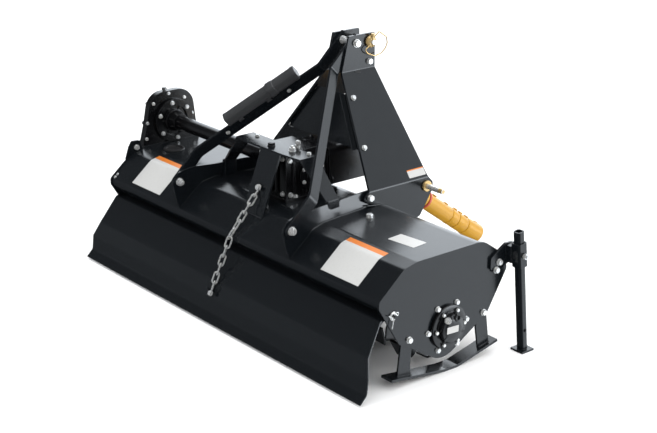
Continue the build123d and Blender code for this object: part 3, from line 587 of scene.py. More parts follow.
class TillerSizes(bpy.types.PropertyGroup):
    """Sizes of what goes on the frame"""
    bolt_across: FloatProperty(name="Bolt head", description="Width across a common bolt head's flats, in mm",
                               default=19.0, min=8, max=40)
    washer: FloatProperty(name="Washer", description="Washer's width over the bolt head's flats",
                          default=1.32, min=1.05, max=2)
    weld: FloatProperty(name="Weld bead", description="Radius of a weld bead, in mm",
                        default=3.2, min=1, max=8)
    turns: IntProperty(name="Facets", description="Facets round a turned piece",
                       default=48, min=12, max=128)


# ------------------------------------------------------------------ fasteners
def fastener(kind, across, washer):
    """Radii over a full turn and heights of a fastener's rings, both shares of the width across its flats.
    A hexagon's radius in direction t is half over the cosine of t's distance to the middle of its side, cut
    back to a circle where the corners are chamfered."""
    t = circle(24)
    six = 0.5 / np.cos((t + np.pi / 6) % (np.pi / 3) - np.pi / 6)
    chamfered = np.minimum(six, 0.52) * 0.96
    rim, thick, step = washer / 2, 0.14, 0.4 / across
    rows = [(0, 0), (rim, 0), (rim, thick * 0.8), (rim - step, thick)]
    if kind in ("hex", "nut"):
        top = thick + (0.42 if kind == "hex" else 0.55)
        rows += [(six, thick), (six, top - 0.06), (chamfered, top)]
    if kind == "hex":
        rows += [(0, top)]
    elif kind == "nut":
        stud = 0.29
        rows += [(stud, top), (stud, top + 0.25), (stud * 0.8, top + 0.32), (0, top + 0.32)]
    elif kind == "dome":
        lift = 0.6 / across
        rows = [(0, 0), (0.6, 0)]
        rows += [(0.6 * np.cos(k), 0.26 * np.sin(k) + lift) for k in np.linspace(0, np.pi / 2, 6)[1:]]
    elif kind == "plug":
        round_head, socket, top = 0.55, 0.28, thick + 0.42
        rows += [(round_head, thick), (round_head, thick + 0.35), (round_head * 0.9, top), (socket, top),
                 (socket, thick + 0.15), (0, thick + 0.15)]
    radii = np.array([np.broadcast_to(r, t.shape) for r, _ in rows])
    return radii * across, np.array([h for _, h in rows]) * across


def fasteners(kind, rows, across=None, washer=None):
    """One kind of fastener at each (place, axis), each turned a little differently."""
    sizes = bpy.context.scene.tiller_sizes
    radii, heights = fastener(kind, across or sizes.bolt_across, washer or sizes.washer)
    places, axes = (np.array([row[i] for row in rows], float) for i in (0, 1))
    spins = np.random.default_rng(len(rows) * 7 + 3).uniform(0, np.pi / 3, len(rows))
    return stack(radii, heights, places, axes, spins)


def fix(name, kind, body, rows, across=None, washer=None, slot="zinc"):
    """One mesh of like fasteners."""
    return make(name, fasteners(kind, rows, across, washer), body, slot, sharp=35)


def ring_of(count, radius, centre, axis, start=0.0, first=(0, 1, 0)):
    """Places evenly round an axis, C + r (cos t U + sin t Z), each with the axis."""
    t = radians(start) + circle(count)[:, None]
    places = np.asarray(centre, float) + radius * (np.cos(t) * np.asarray(first) + np.sin(t) * Z)
    return [(place, axis) for place in places]


# ------------------------------------------------------------------ stage
# direction, cosine where it starts and where it is full, strength
GLOSS = (
    ((-0.60, 0.68, 0.42), 0.72, 0.93, 2.5),       # seen in the deck and the bracket's top
    ((0.62, 0.62, -0.48), 0.78, 0.95, 1.45),      # seen in the plates that face right
    ((0.50, 0.55, 0.67), 0.80, 0.95, 1.0),        # seen in the hitch plate's splayed part
    ((0.74, 0.67, 0.05), 0.945, 0.985, 5.5),      # seen in thin edges and bends
    ((0.10, 0.99, 0.05), 0.70, 0.95, 1.3),        # seen in the right brace
    ((-0.70, -0.70, 0.00), 0.90, 0.99, 0.15),     # seen in the tailgate
)
DIM, GLOSS_TINT = 0.08, (0.88, 0.94, 1.0, 1)      # what lies between the bright parts, and their tint
EVEN, EVEN_TINT = 1.5, (0.98, 0.99, 1.0, 1)       # what matt surfaces and the floor get from all round
LAMP_WATTS = 60.0
# name, place, what it looks at, width and height, tint
LAMPS = (
    ("side_panel", (5.0, 1.5, 2.6), (0.5, 0.0, 0.3), 2.5, (1.0, 0.98, 0.95)),
    ("top_panel", (0.5, 0.5, 4.5), (0.0, 0.0, 0.3), 3.5, (1.0, 1.0, 1.0)),
)
CAMERA_PLACE, CAMERA_DOWN, CAMERA_TURN, CAMERA_LENS = (4.51845, -3.83564, 2.4338), 19.87, 50.85, 83.09


def pale_floor():
    """A wide floor in a grid, nearly white, with a faint cloud."""
    reach, n = 30.0, 25
    line = np.linspace(-reach, reach, n)
    x, y = np.meshgrid(line, line, indexing="ij")
    points = np.stack([x, y, np.zeros_like(x)], -1).reshape(-1, 3)
    material, tree = new_material("Pale floor")
    where = node(tree, "ShaderNodeTexCoord").outputs["Object"]
    tone = mixed(tree, noise(tree, where, 0.7, 3.0), (0.90, 0.90, 0.90, 1), (0.93, 0.93, 0.93, 1))
    shader = node(tree, "ShaderNodeBsdfDiffuse", {"Color": tone})
    node(tree, "ShaderNodeOutputMaterial", {"Surface": shader.outputs[0]})
    mesh = bpy.data.meshes.new("floor")
    mesh.from_pydata(points.tolist(), [], quads(n, n, wrap_cols=False)[:, ::-1].tolist())
    mesh.materials.append(material)
    floor = bpy.data.objects.new("floor", mesh)
    bpy.context.scene.collection.objects.link(floor)
    floor.visible_glossy = False


def studio_sky():
    """Even light for matt surfaces and the floor; for gloss, a dim room with a few broad bright parts, each
    one a smooth step in the angle from its direction."""
    world = bpy.data.worlds.new("studio")
    bpy.context.scene.world = world
    world.use_nodes = True
    tree = world.node_tree
    tree.nodes.clear()
    way = node(tree, "ShaderNodeTexCoord").outputs["Generated"]
    total = DIM
    for aim, start, full, strength in GLOSS:
        near = dot(tree, way, tuple(Vector(aim).normalized()))
        total = maths(tree, "ADD", total, ramp(tree, near, start, full, strength, smooth=True))
    gloss = node(tree, "ShaderNodeBackground", {"Color": GLOSS_TINT, "Strength": total}).outputs[0]
    even = node(tree, "ShaderNodeBackground", {"Color": EVEN_TINT, "Strength": EVEN}).outputs[0]
    glossy_ray = node(tree, "ShaderNodeLightPath").outputs["Is Glossy Ray"]
    both = node(tree, "ShaderNodeMixShader", {0: glossy_ray, 1: even, 2: gloss}).outputs[0]
    node(tree, "ShaderNodeOutputWorld", {"Surface": both})


def soft_panel(name, place, target, size, tint):
    """A square lamp aimed at its target and hidden from the camera; only the top one shows in gloss."""
    lamp = bpy.data.lights.new(name, "AREA")
    lamp.shape, lamp.size, lamp.energy, lamp.color = "SQUARE", size, LAMP_WATTS, tint
    obj = bpy.data.objects.new(name, lamp)
    obj.location = place
    obj.rotation_euler = (Vector(target) - Vector(place)).to_track_quat("-Z", "Y").to_euler()
    obj.visible_camera = False
    obj.visible_glossy = name == "top_panel"
    bpy.context.scene.collection.objects.link(obj)


def studio_camera():
    """The camera, behind the machine's right side and a little above it."""
    lens = bpy.data.cameras.new("camera")
    lens.sensor_fit, lens.sensor_width, lens.lens = "HORIZONTAL", 36.0, CAMERA_LENS
    lens.clip_end = 200.0
    camera = bpy.data.objects.new("camera", lens)
    camera.location = CAMERA_PLACE
    camera.rotation_euler = (radians(90 - CAMERA_DOWN), 0.0, radians(CAMERA_TURN))
    bpy.context.scene.collection.objects.link(camera)
    bpy.context.scene.camera = camera


class TILLER_OT_stage(bpy.types.Operator):
    """Makes the pale floor, the soft studio light and the camera"""
    bl_idname = "tiller.stage"
    bl_label = "Stage"

    def execute(self, context):
        context.scene.view_settings.view_transform = "Standard"
        pale_floor()
        studio_sky()
        for lamp in LAMPS:
            soft_panel(*lamp)
        studio_camera()
        return {"FINISHED"}


PAINTED_ROD = "tailgate_rod"                    # drawn in the sheets' paint, though its slot is zinc


class TILLER_OT_finishes(bpy.types.Operator):
    """Gives every CAD node the finish of its material slot, except the tailgate's rod, which gets the sheets'
    paint
    """
    bl_idname = "tiller.finishes"
    bl_label = "Finishes"

    def execute(self, context):
        for name, obj in frame["nodes"].items():
            look = graphite_paint() if name == PAINTED_ROD else finish_of(slot_of(name))
            obj.data.materials.clear()
            obj.data.materials.append(look)
        return {"FINISHED"}


# ------------------------------------------------------------------ places the fittings sit on
X, Y, Z = np.eye(3)
SIDES = (1, -1)                                # right and left
SIDE = mm("side_plate_right")[1][0]            # outer face of the right side plate
INNER = mm("hood")[1][0]                       # inner faces of the side plates
COVER = mm("drive_case_cover")[0][0]           # outer face of the drive case's cover
BRACKET = mm("gearbox_bracket")[1][2]          # top of the bracket over the gearbox
AXIS = (mm("rotor_shaft")[0][2] + mm("rotor_shaft")[1][2]) / 2
DECK = 464.0                                   # flat of the hood
CROSS = (4.0, 559.0)                           # (y, z) of the shaft from the gearbox to the drive case
HINGE = (-265.0, 289.0)                        # (y, z) of the tailgate's rod
# outside of the hood as (y, z, bend radius), and an arm's middle as (y, x, bend radius)
HOOD_LINE = ((-326, 357, 0), (-213, 450, 40), (-152, 464, 40), (168, 464, 0))
ARM_LINE = ((-362, 366, 0), (-235, 366, 70), (95, 326, 70), (170, 326, 0))
ARM_THICK = 8.0
PLATE = 10.0                                   # thickness of the hitch plates and braces
HEAD = 53.0                                    # a hitch plate's outer face above its bend
BEND = 927.0                                   # height of its bend
SPLAY = (340.0, 526.0)                         # (x, z) where its sloping part ends
# a brace's bolts (y, z), and how far out its outer face is at each distance down it
BRACE_TOP, EAR = np.array([265.0, 1037.0]), np.array([-320.0, 474.0])
BRACE_OUT = ((0, 43), (145, 43), (667, 380), (812, 380))
BRACE_WAY = unit(EAR - BRACE_TOP)
SKID_BOLTS = (-187, 174), (184, 181)           # (y, z) on each side plate
TOP_PIN, LOWER_PIN = (335.0, 1035.0), (392.0, 489.0)                           # (y, z)
# gearbox
BOX_HALF, BOX_REAR, BOX_TOP = 85.0, -118.0, 663.0
CAP_RIGHT, CAP_LEFT, CAP_FRONT, INPUT = 101.0, -109.0, 146.0, 566.0
# drive line
JOINT = np.array([0.0, 290.0, INPUT])          # middle of the universal joint
DROOP = radians(35.8)
LINE = np.array([0.0, np.cos(DROOP), -np.sin(DROOP)])
LINE_UP = np.array([0.0, np.sin(DROOP), np.cos(DROOP)])
# chain
CHAIN_TOP, CHAIN_KNEE, CHAIN_END = np.array([(38, -211.8, 530.8), (18, -338.8, 359.7), (-20, -416.6, 122.6)])
# directions straight out of the strap and of the tailgate
STRAP_OUT, SHEET_OUT = np.array([0, -0.935, 0.355]), np.array([0, -0.941, 0.339])


def mirrored(*rows):
    """The rows, (place, axis), and then their mirror images across the machine's middle."""
    flip = np.array([-1.0, 1.0, 1.0])
    return list(rows) + [(np.asarray(place) * flip, axis * flip) for place, axis in rows]


def splay(y, z, lift=0.0):
    """A place on the right hitch plate's sloping outer face at that height, raised by lift, and its
    direction."""
    slope = (SPLAY[0] - HEAD) / (BEND - SPLAY[1])
    n = unit([1.0, 0.0, slope])
    return np.array([HEAD + slope * (BEND - z), y, z]) + lift * n, n


def left_brace(way_down):
    """A place on the left brace's inner face, that far down from its top bolt, and the face's direction."""
    d, x = np.array(BRACE_OUT, float).T
    rise = (np.interp(way_down + 1, d, x) - np.interp(way_down - 1, d, x)) / 2
    place = (PLATE - np.interp(way_down, d, x), *(BRACE_TOP + BRACE_WAY * way_down))
    return np.array(place), unit([1.0, *(rise * BRACE_WAY)])


# ------------------------------------------------------------------ sheet metal
def arm_web(side):
    """A standing web from the brace's ear to the hitch plate: its foot follows the hood, its top is rounded
    down at the rear, and where it runs forward it leans inwards."""
    y = np.concatenate([np.linspace(-352, -290, 22), np.linspace(-280, 168, 40)])
    line, plan = bent(HOOD_LINE), bent(ARM_LINE, 10)
    sunk, lean = 3.0, 13.0 * np.clip((y + 240) / 80, 0, 1)
    on_hood = np.interp(y, line[:, 0], line[:, 1]) - sunk
    low = np.where(y < -322, np.interp(y, (-352, -337, -322), (466, 398, 361)), on_hood)
    rounding = (-352, -349, -343, -335, -322, -300, -268, -230), (472, 484, 495, 504, 512, 519, 523, 524)
    high = np.interp(y, *rounding)
    x = np.interp(y, plan[:, 0], plan[:, 1])
    bottom, top = np.stack([side * x, y, low], 1), np.stack([side * (x - lean), y, high], 1)
    return plate_between(bottom, top, ARM_THICK, X)


class TILLER_OT_arms(bpy.types.Operator):
    """The standing webs on the hood that carry the braces"""
    bl_idname = "tiller.arms"
    bl_label = "Arms"

    def execute(self, context):
        for side, name in zip(SIDES, ("right", "left")):
            arm = make(f"arm_web_{name}", arm_web(side), "frame", "graphite_paint", sharp=30)
            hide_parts(f"arm_{name}")
        return {"FINISHED"}


class TILLER_OT_input_guard(bpy.types.Operator):
    """The black cover round the input shaft: a sheet bent over it, open below and towards the tractor"""
    bl_idname = "tiller.input_guard"
    bl_label = "Input guard"

    def execute(self, context):
        half, low, high, rear, front = 99.0, 494.0, 650.0, 90.0, 300.0
        sheet, bend = 3.0, 26.0
        lines = []
        for inset in (0.0, sheet):
            a, top, r = half - inset, high - inset, bend - inset
            lines.append(bent(((-a, low, 0), (-a, top, r), (a, top, r), (a, low, 0)), 10))
        make("input_guard", cover_of(*lines, np.linspace(rear, front, 12)), "frame", "gloss_black", sharp=35)
        screws = [((s * half, y, 520), s * X) for s in SIDES for y in (104, 190)]
        fix("input_guard_screws", "dome", "frame", screws, across=10, slot="gloss_black")
        return {"FINISHED"}


# ------------------------------------------------------------------ bolts
class TILLER_OT_plate_bolts(bpy.types.Operator):
    """Bolts of the side plates, hub, stand bracket and skids"""
    bl_idname = "tiller.plate_bolts"
    bl_label = "Side plate bolts"

    def execute(self, context):
        stand, lap, lift_hole = ((247, 369), (233, 341)), 8.0, (-196, 471)
        bolts = mirrored(*[((SIDE, *foot), X) for foot in SKID_BOLTS])
        bolts += [((SIDE + PLATE, *foot), X) for foot in stand]
        fix("side_plate_bolts", "hex", "frame", bolts, across=20)
        fix("hub_bolts", "hex", "frame", ring_of(6, 95, (SIDE, 0, AXIS), X, 2), across=17)
        nuts = [((s * (INNER - lap), *foot), -s * X) for s in SIDES for foot in SKID_BOLTS]
        nuts += [((INNER, *foot), -X) for foot in stand]
        nuts += [((-SIDE, *lift_hole), -X)]
        fix("side_plate_nuts", "nut", "frame", nuts, across=19)
        fix("left_ear_bolt", "hex", "frame", [((-INNER, *lift_hole), X)], across=19)
        slope = unit([0, -0.636, 0.772])
        screws = [((-868, -306, 373.5), slope), ((-868, -318, 363.5), slope)]
        fix("hood_end_screws", "dome", "frame", screws, across=11)
        return {"FINISHED"}


def brace_bolts():
    """A long bolt through each end of each brace, the head outside and the nut inside."""
    gap, ear_gap, across = 0.2, BRACE_OUT[-1][1] - 18.2, 26
    heads, nuts, shanks = [], [], []
    for s in SIDES:
        heads += [((s * (HEAD + gap), *BRACE_TOP), s * X), ((s * (BRACE_OUT[-1][1] + gap), *EAR), s * X)]
        nuts += [((s * ear_gap, *EAR), -s * X), ((s * (HEAD - 2 * PLATE - gap), *BRACE_TOP), -s * X)]
    for half, x, place in ((48, 0, BRACE_TOP), (22, 371, EAR), (22, -371, EAR)):
        shanks.append(lathe([(0, -half), (7.9, -half), (7.9, half), (0, half)], (x, *place), X, 24))
    return joined(fasteners("hex", heads, across), fasteners("nut", nuts, across - 1), *shanks)


class TILLER_OT_hitch_bolts(bpy.types.Operator):
    """Bolts of the hitch plates, braces, arms and the bracket over the gearbox"""
    bl_idname = "tiller.hitch_bolts"
    bl_label = "Hitch bolts"

    def execute(self, context):
        top, holes = (332, 954), ((196, 838), (152, 669))
        fix("hitch_head_bolts", "hex", "frame", mirrored(((HEAD, *top), X)), across=22, washer=1.15)
        nuts = mirrored(((HEAD - PLATE, *top), -X))
        heads = []
        for hole in holes:
            place, n = splay(*hole)
            heads += mirrored((place, n))
            nuts += mirrored((place - PLATE * n, -n))
        fix("hitch_plate_bolts", "hex", "frame", heads, across=17)
        feet = mirrored(((SPLAY[0], 96, 502), X)) + mirrored(((427, 20, DECK), Z))
        fix("hitch_foot_bolts", "hex", "frame", feet, across=24, washer=1.12)
        fix("hitch_plate_nuts", "nut", "frame", nuts, across=17)
        screws = [left_brace(way_down) for way_down in (283, 541)]
        fix("manual_case_screws", "dome", "frame", screws, across=15)
        fix("manual_case_nuts", "nut", "frame", [(place - PLATE * n, -n) for place, n in screws], across=11)
        bolts = make("brace_end_bolts", brace_bolts(), "frame", slot_of("brace_bolts"), sharp=35)
        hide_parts("brace_bolts")
        fix("bracket_bolts", "nut", "frame", [((97, -95, BRACKET), Z)], across=22)
        painted_bolt = [((-10, -115, BRACKET), Z)]
        fix("bracket_painted_bolt", "hex", "frame", painted_bolt, across=24, slot="gloss_black")
        edge = [((172, -72, BRACKET), Z), ((-150, -80, BRACKET), Z)]
        fix("bracket_edge_bolts", "hex", "frame", edge, across=15)
        return {"FINISHED"}


# ------------------------------------------------------------------ castings
def along_cover(count):
    """Places (y, z) at even steps along the line of the cover's bolts, a little inside its outline."""
    line = bent(((-100, 640, 0), (-96, 676, 50), (94, 676, 50), (108, 540, 50), (136, 400, 50),
                 (134, 290, 50), (106, 80, 90), (-106, 80, 90), (-152, 290, 50), (-152, 430, 50),
                 (-122, 560, 50), (-100, 640, 0)), 10)
    run = distances(line)
    steps = np.linspace(0, run[-1], count + 1)[:-1]
    return np.stack([np.interp(steps, run, line[:, i]) for i in range(2)], 1)


def rib(start, end, width, height, corner, side):
    """A cast rib between two places."""
    return ribbon([start, end], strip(width, height, corner), side)


class TILLER_OT_drive_case_fittings(bpy.types.Operator):
    """Bolts, plugs, pads and ribs of the drive case"""
    bl_idname = "tiller.drive_case_fittings"
    bl_label = "Drive case fittings"

    def execute(self, context):
        facets = context.scene.tiller_sizes.turns
        rim = ((-16, 681), (65, 651), (-96, 647), (103, 573), (-131, 565), (112, 500), (-138, 495))
        flange = 14.0
        fix("drive_case_bolts", "hex", "frame", [((-SIDE, *place), X) for place in rim], across=12)
        fix("drive_flange_bolts", "hex", "frame", ring_of(6, 81, (flange - SIDE, *CROSS), X, 98), across=15)
        edge = [((COVER, *place), -X) for place in along_cover(18)]
        fix("drive_cover_bolts", "hex", "frame", edge, across=15)
        fix("drive_case_plugs", "plug", "frame", [((COVER, 60, 560), -X), ((COVER, -70, 300), -X)], across=26)
        pad = [(0, 0), (64, 0), (64, 2.2), (60, 4), (46, 4), (44, 2.5), (20, 2.5), (18, 4), (0, 4)]
        pads = [lathe(pad, (COVER, *place), -X, facets) for place in (CROSS, (0, AXIS))]
        make("drive_cover_pads", joined(*pads), "frame", "gloss_black")
        x, low, high, taper = COVER - 1.2, 250, 490, 0.8
        ribs = [rib((x, y, low), (x, y * taper, high), 7, 3.4, 1.2, Y) for y in (-70, 0, 70)]
        make("drive_cover_ribs", joined(*ribs), "frame", "gloss_black")
        return {"FINISHED"}


def breather():
    """The gearbox's breather: a nut, a bent neck and a cap."""
    foot = np.array([58, -38, BOX_TOP])
    neck = foot + [(0, 0, 14), (0, 0, 22), (2, -2, 27), (8, -6, 29), (18, -12, 29)]
    cap = [(0, 0), (10, 0), (11, 2), (11, 12), (9, 15), (0, 15)]
    return joined(
        fasteners("nut", [(foot, Z)], across=20, washer=1.2),
        sweep(neck, [7, 7, 7, 7, 6], 16, up=Y),
        lathe(cap, foot + (16, -11, 29), unit([0.85, -0.5, 0]), 24))


def lifting_eye():
    """A bent rod over the gearbox's top, both its ends sunk in."""
    # (x, y, height over the top)
    bow = np.array([(18, 52, -2), (17, 53, 10), (15, 58, 17), (13, 66, 19), (12, 73, 16), (11, 77, 9),
                    (11, 77, -2)])
    return sweep(bow + Z * BOX_TOP, 4.0, 14, up=X)


class TILLER_OT_gearbox_fittings(bpy.types.Operator):
    """Bolts, seals, ribs, plugs and lifting eye of the gearbox, and both castings' breathers"""
    bl_idname = "tiller.gearbox_fittings"
    bl_label = "Gearbox fittings"

    def execute(self, context):
        facets = context.scene.tiller_sizes.turns
        caps = ring_of(6, 52, (CAP_RIGHT, *CROSS), X, 30) + ring_of(6, 52, (CAP_LEFT, *CROSS), -X, 30)
        caps += ring_of(6, 44, (0, CAP_FRONT, INPUT), Y, 30, first=X)
        fix("gearbox_cap_bolts", "hex", "frame", caps, across=12)
        faces = [((BOX_HALF, *place), X) for place in ((-100, 629), (-97, 488), (95, 488))]
        faces += [((-BOX_HALF, *place), -X) for place in ((-100, 629), (-97, 488))]
        faces += [((x, BOX_REAR, z), -Y) for x in (-66, 66) for z in (492, 636)]
        fix("gearbox_face_bolts", "hex", "frame", faces, across=16)
        feet = [((x, y, 478), Z) for x in (-94, 94) for y in (-80, 0, 80)]
        fix("gearbox_foot_bolts", "hex", "frame", feet, across=17)
        cap = [(0, 0), (30, 0), (30, 3), (26, 5), (14, 5), (12, 3.4), (0, 3.4)]
        seal = [(18.5, 0), (34, 0), (34, 3), (31, 5), (24, 5), (21, 2), (18.5, 2)]
        seals = joined(lathe(cap, (CAP_RIGHT, *CROSS), X, facets),
                       lathe(seal, (0, CAP_FRONT, INPUT), Y, facets, closed=True))
        make("gearbox_seals", seals, "frame", "gloss_black")
        y, x = BOX_REAR - 4, BOX_HALF + 3
        ribs = [rib((k, y, 490), (k, y, 630), 9, 9, 3, X) for k in (-34, 0, 34)]
        ribs += [rib((s * x, k, 478), (s * x, k, 500), 8, 8, 3, Y) for s in SIDES for k in (-40, 0, 40)]
        make("gearbox_ribs", joined(*ribs), "frame", "gloss_black")
        fix("gearbox_plugs", "plug", "frame", [((-BOX_HALF, 60, 520), -X), ((40, 112, 500), Y)], across=22)
        make("gearbox_breather", breather(), "frame", "zinc")
        make("gearbox_lifting_eye", lifting_eye(), "frame", "gloss_black")
        vent = [(0, -4), (8, -4), (8, 6), (11, 7), (11, 14), (8, 18), (0, 18)]
        make("drive_case_breather", lathe(vent, (-900, -30, 691), Z, 24), "frame", "shaft_steel")
        return {"FINISHED"}


def hub_casting(facets):
    """The hub: a flange inside the side plate and a stepped cap outside it, with bolt lugs, three webs and
    a cup."""
    wall, back = SIDE - INNER, SIDE - INNER + 14
    profile = [(25.05, -back), (105, -back), (108, 3 - back), (108, -wall), (73.9, -wall), (73.9, 0),
               (84, 0), (86, 2), (86, 10), (84, 13), (81, 14), (60, 14), (57.5, 16.5), (56, 29), (53, 33),
               (49, 34.5), (42, 35), (38, 37), (34, 38), (0, 38), (0, 16), (25.05, 16)]
    centre = np.array([SIDE, 0, AXIS])
    lug = [(0, 10), (11, 10), (11, 16), (9.5, 18), (0, 18)]
    cup = [(0, 30), (12, 30), (13.5, 31), (13.5, 40), (12, 41.5), (9, 41.5), (8, 36), (0, 36)]
    shapes = [lathe(profile, centre, X, facets, closed=True)]
    shapes += [lathe(lug, place, X, 24) for place, _ in ring_of(6, 69, centre, X, 2)]
    for way, _ in ring_of(3, 1.0, (0, 0, 0), X, 100):
        start, end = centre + X * 33 + way * 20, centre + X * 32 + way * 57
        shapes.append(rib(start, end, 13, 8, 2.5, np.cross(way, X)))
    return joined(*shapes, lathe(cup, centre + Y * 15 + Z * 42, X, 24))


class TILLER_OT_hub(bpy.types.Operator):
    """The right bearing hub with its cap, bolts, filler plug and blank label, in place of the plain one"""
    bl_idname = "tiller.hub"
    bl_label = "Bearing hub"

    def execute(self, context):
        casting = hub_casting(2 * context.scene.tiller_sizes.turns)
        hub = make("bearing_hub", casting, "frame", slot_of("bearing_hub_right"), sharp=30)
        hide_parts("bearing_hub_right")
        cap_bolts = ring_of(6, 69, (SIDE + 18, 0, AXIS), X, 2)
        fix("hub_cap_bolts", "hex", "frame", cap_bolts, across=12, washer=1.1)
        stopper = [(0, -8), (11, -8), (11, 4), (12.5, 5), (12.5, 17), (11, 19), (0, 19)]
        plug = lathe(stopper, (SIDE + 26, -26, AXIS + 36), unit([0.80, -0.42, 0.42]), 32)
        make("hub_filler_plug", plug, "frame", "zinc", sharp=30)
        outline = rounded_rectangle(57, 26, 1.5, 3)
        plate = slab(outline, (SIDE + 38.1, -7, AXIS + 1), (0, 1, -0.05), (0, 0.05, 1), 0.8)
        make("hub_label", plate, "frame", "black_plastic", label_finish(False))
        return {"FINISHED"}


# ------------------------------------------------------------------ labels
def slope_label(x):
    """A label bent over the hood's rear slope."""
    line = bent(HOOD_LINE, 10)
    run = distances(line)
    s = np.linspace(*[np.interp(y, line[:, 0], run) for y in (-311, -168)], 24)
    y, z = (np.interp(s, run, line[:, i]) for i in (0, 1))
    return ribbon(np.stack([np.full_like(s, x), y, z], 1), strip(212, 0.9, 0.3), X)


class TILLER_OT_labels(bpy.types.Operator):
    """Blank labels on the hood, the hitch plate and the deck"""
    bl_idname = "tiller.labels"
    bl_label = "Blank labels"

    def execute(self, context):
        for side, x in (("right", 645.0), ("left", -636.0)):
            make(f"hood_label_{side}", slope_label(x), "frame", "black_plastic", label_finish(True))
        plate = slab(rounded_rectangle(128, 72, 4, 4), (706, -38, DECK), (1, 0.1, 0), (-0.1, 1, 0), 0.8)
        make("deck_label", plate, "frame", "black_plastic", label_finish(False))
        place, n = splay(352, 549, 0.1)
        plate = slab(rounded_rectangle(88, 34, 3, 4), place, Y, np.cross(n, Y), 0.7)
        make("hitch_label", plate, "frame", "black_plastic", label_finish(True))
        return {"FINISHED"}


# ------------------------------------------------------------------ moving and loose pieces
def chain_links():
    """Round-wire links along the two straight stretches, each a quarter turn on from the last and a third
    of one more for each of three links at the hood's edge."""
    wire, bend, count, slack = 3.6, 9.8, 12, 6.0
    legs = ((CHAIN_TOP, CHAIN_KNEE, STRAP_OUT), (CHAIN_KNEE, CHAIN_END, SHEET_OUT))
    upper, lower = (np.linalg.norm(end - start) for start, end, _ in legs)
    pitch = (upper + lower - slack) / count
    loop = stadium(pitch / 2 + wire - bend + wire * 0.4, bend)
    links = []
    for i in range(count):
        s = (i + 0.5) * pitch - 2
        start, end, out = legs[0] if s < upper else legs[1]
        d = unit(end - start)
        sway = X * np.sin(i * 2.4)
        c = start + d * (s if s < upper else s - upper) + sway
        out = unit(out - d * (out @ d))
        turn = radians(46 + 90 * (i + 1) + 30 * np.clip(i - 3, 0, 3) + 6 * np.sin(i * 1.7))
        v = np.cos(turn) * np.cross(d, out) + np.sin(turn) * out
        links.append(sweep(c + loop[:, :1] * d + loop[:, 1:] * v, wire, 10, closed=True, up=np.cross(d, v)))
    return joined(*links)


class TILLER_OT_chain(bpy.types.Operator):
    """The tailgate's chain, link by link, from the strap over the hood's lip to the tailgate"""
    bl_idname = "tiller.chain"
    bl_label = "Tailgate chain"

    def execute(self, context):
        links = make("tailgate_chain_links", chain_links(), None, slot_of("tailgate_chain"), zinc(), sharp=60)
        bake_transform(links)
        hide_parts("tailgate_chain")
        fix("chain_top_bolt", "hex", "frame", [(CHAIN_TOP + STRAP_OUT * 4, STRAP_OUT)], across=20)
        foot = CHAIN_END + SHEET_OUT * 2 + X * 5
        fix("chain_end_bolt", "hex", "tailgate_gate", [(foot, SHEET_OUT)], across=18)
        return {"FINISHED"}


def guard_tube(facets):
    """The inner guard: a ribbed bell over the joint, and the tube that runs on from it."""
    bell = [(60 - k * 10 / 88 + 1.6 * np.sin(k * 0.42), 62 + k) for k in range(3, 86, 3)]
    profile = [(55, 62), (60, 62), *bell, (50, 150), (40, 150), (40, 162), (30, 164), (30, 636), (25, 636),
               (25, 170), (13.05, 170), (13.05, 146), (45, 146)]
    return lathe(profile, JOINT, LINE, facets, closed=True)


def guard_sleeve(facets):
    """The outer guard: a sleeve over the tube with three grooves and a flared end."""
    groove = [(37.6, -4), (37, -2), (34.6, -1.2), (34.6, 1.2), (37.2, 2), (38.4, 5)]
    profile = [(30.3, 470), (39, 470), (41, 472), (41, 492), (39, 494), (37, 496)]
    profile += [(r, h + middle) for middle in (677, 728, 796) for r, h in groove]
    profile += [(39.5, 806), (41, 830), (43.2, 896), (42.8, 900), (39.4, 900), (38.4, 896), (32.4, 811),
                (19.05, 811), (19.05, 796), (30.3, 796)]
    return lathe(profile, JOINT, LINE, facets, closed=True)


def guard_clips():
    """Raised clips along the sleeve's upper side."""
    clips = []
    for h, high in ((545, 5), (632, 4), (702, 6), (741, 5), (786, 5), (858, 7), (886, 4)):
        c = JOINT + LINE * h + LINE_UP * (36.5 + high / 2) + X * 5
        clips.append(rib(c - LINE * 9, c + LINE * 9, 16, high, 1.5, X))
    return joined(*clips)


class TILLER_OT_guards(bpy.types.Operator):
    """The drive line's guard tubes with their grooves, bell and clips, in place of the plain ones"""
    bl_idname = "tiller.guards"
    bl_label = "Drive line guards"

    def execute(self, context):
        facets = 2 * context.scene.tiller_sizes.turns
        tube = make("guard_tube", guard_tube(facets), "drive_line", "guard_yellow")
        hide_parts("guard_inner")
        sleeve = make("guard_sleeve", guard_sleeve(facets), "drive_line_outer", "guard_yellow")
        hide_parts("guard_outer")
        make("guard_clips", guard_clips(), "drive_line_outer", "guard_yellow")
        profile = [(34, 0), (42.5, 0), (43.5, 2), (43.5, 9), (42, 11), (34, 11)]
        ring = lathe(profile, JOINT + LINE * 497, LINE, facets, closed=True)
        make("guard_bearing_ring", ring, "drive_line_outer", "black_plastic", red_plastic())
        grease = fasteners("dome", [(JOINT + LINE_UP * 30, LINE_UP)], across=9)
        make("joint_grease_fitting", grease, "drive_line", "zinc")
        return {"FINISHED"}


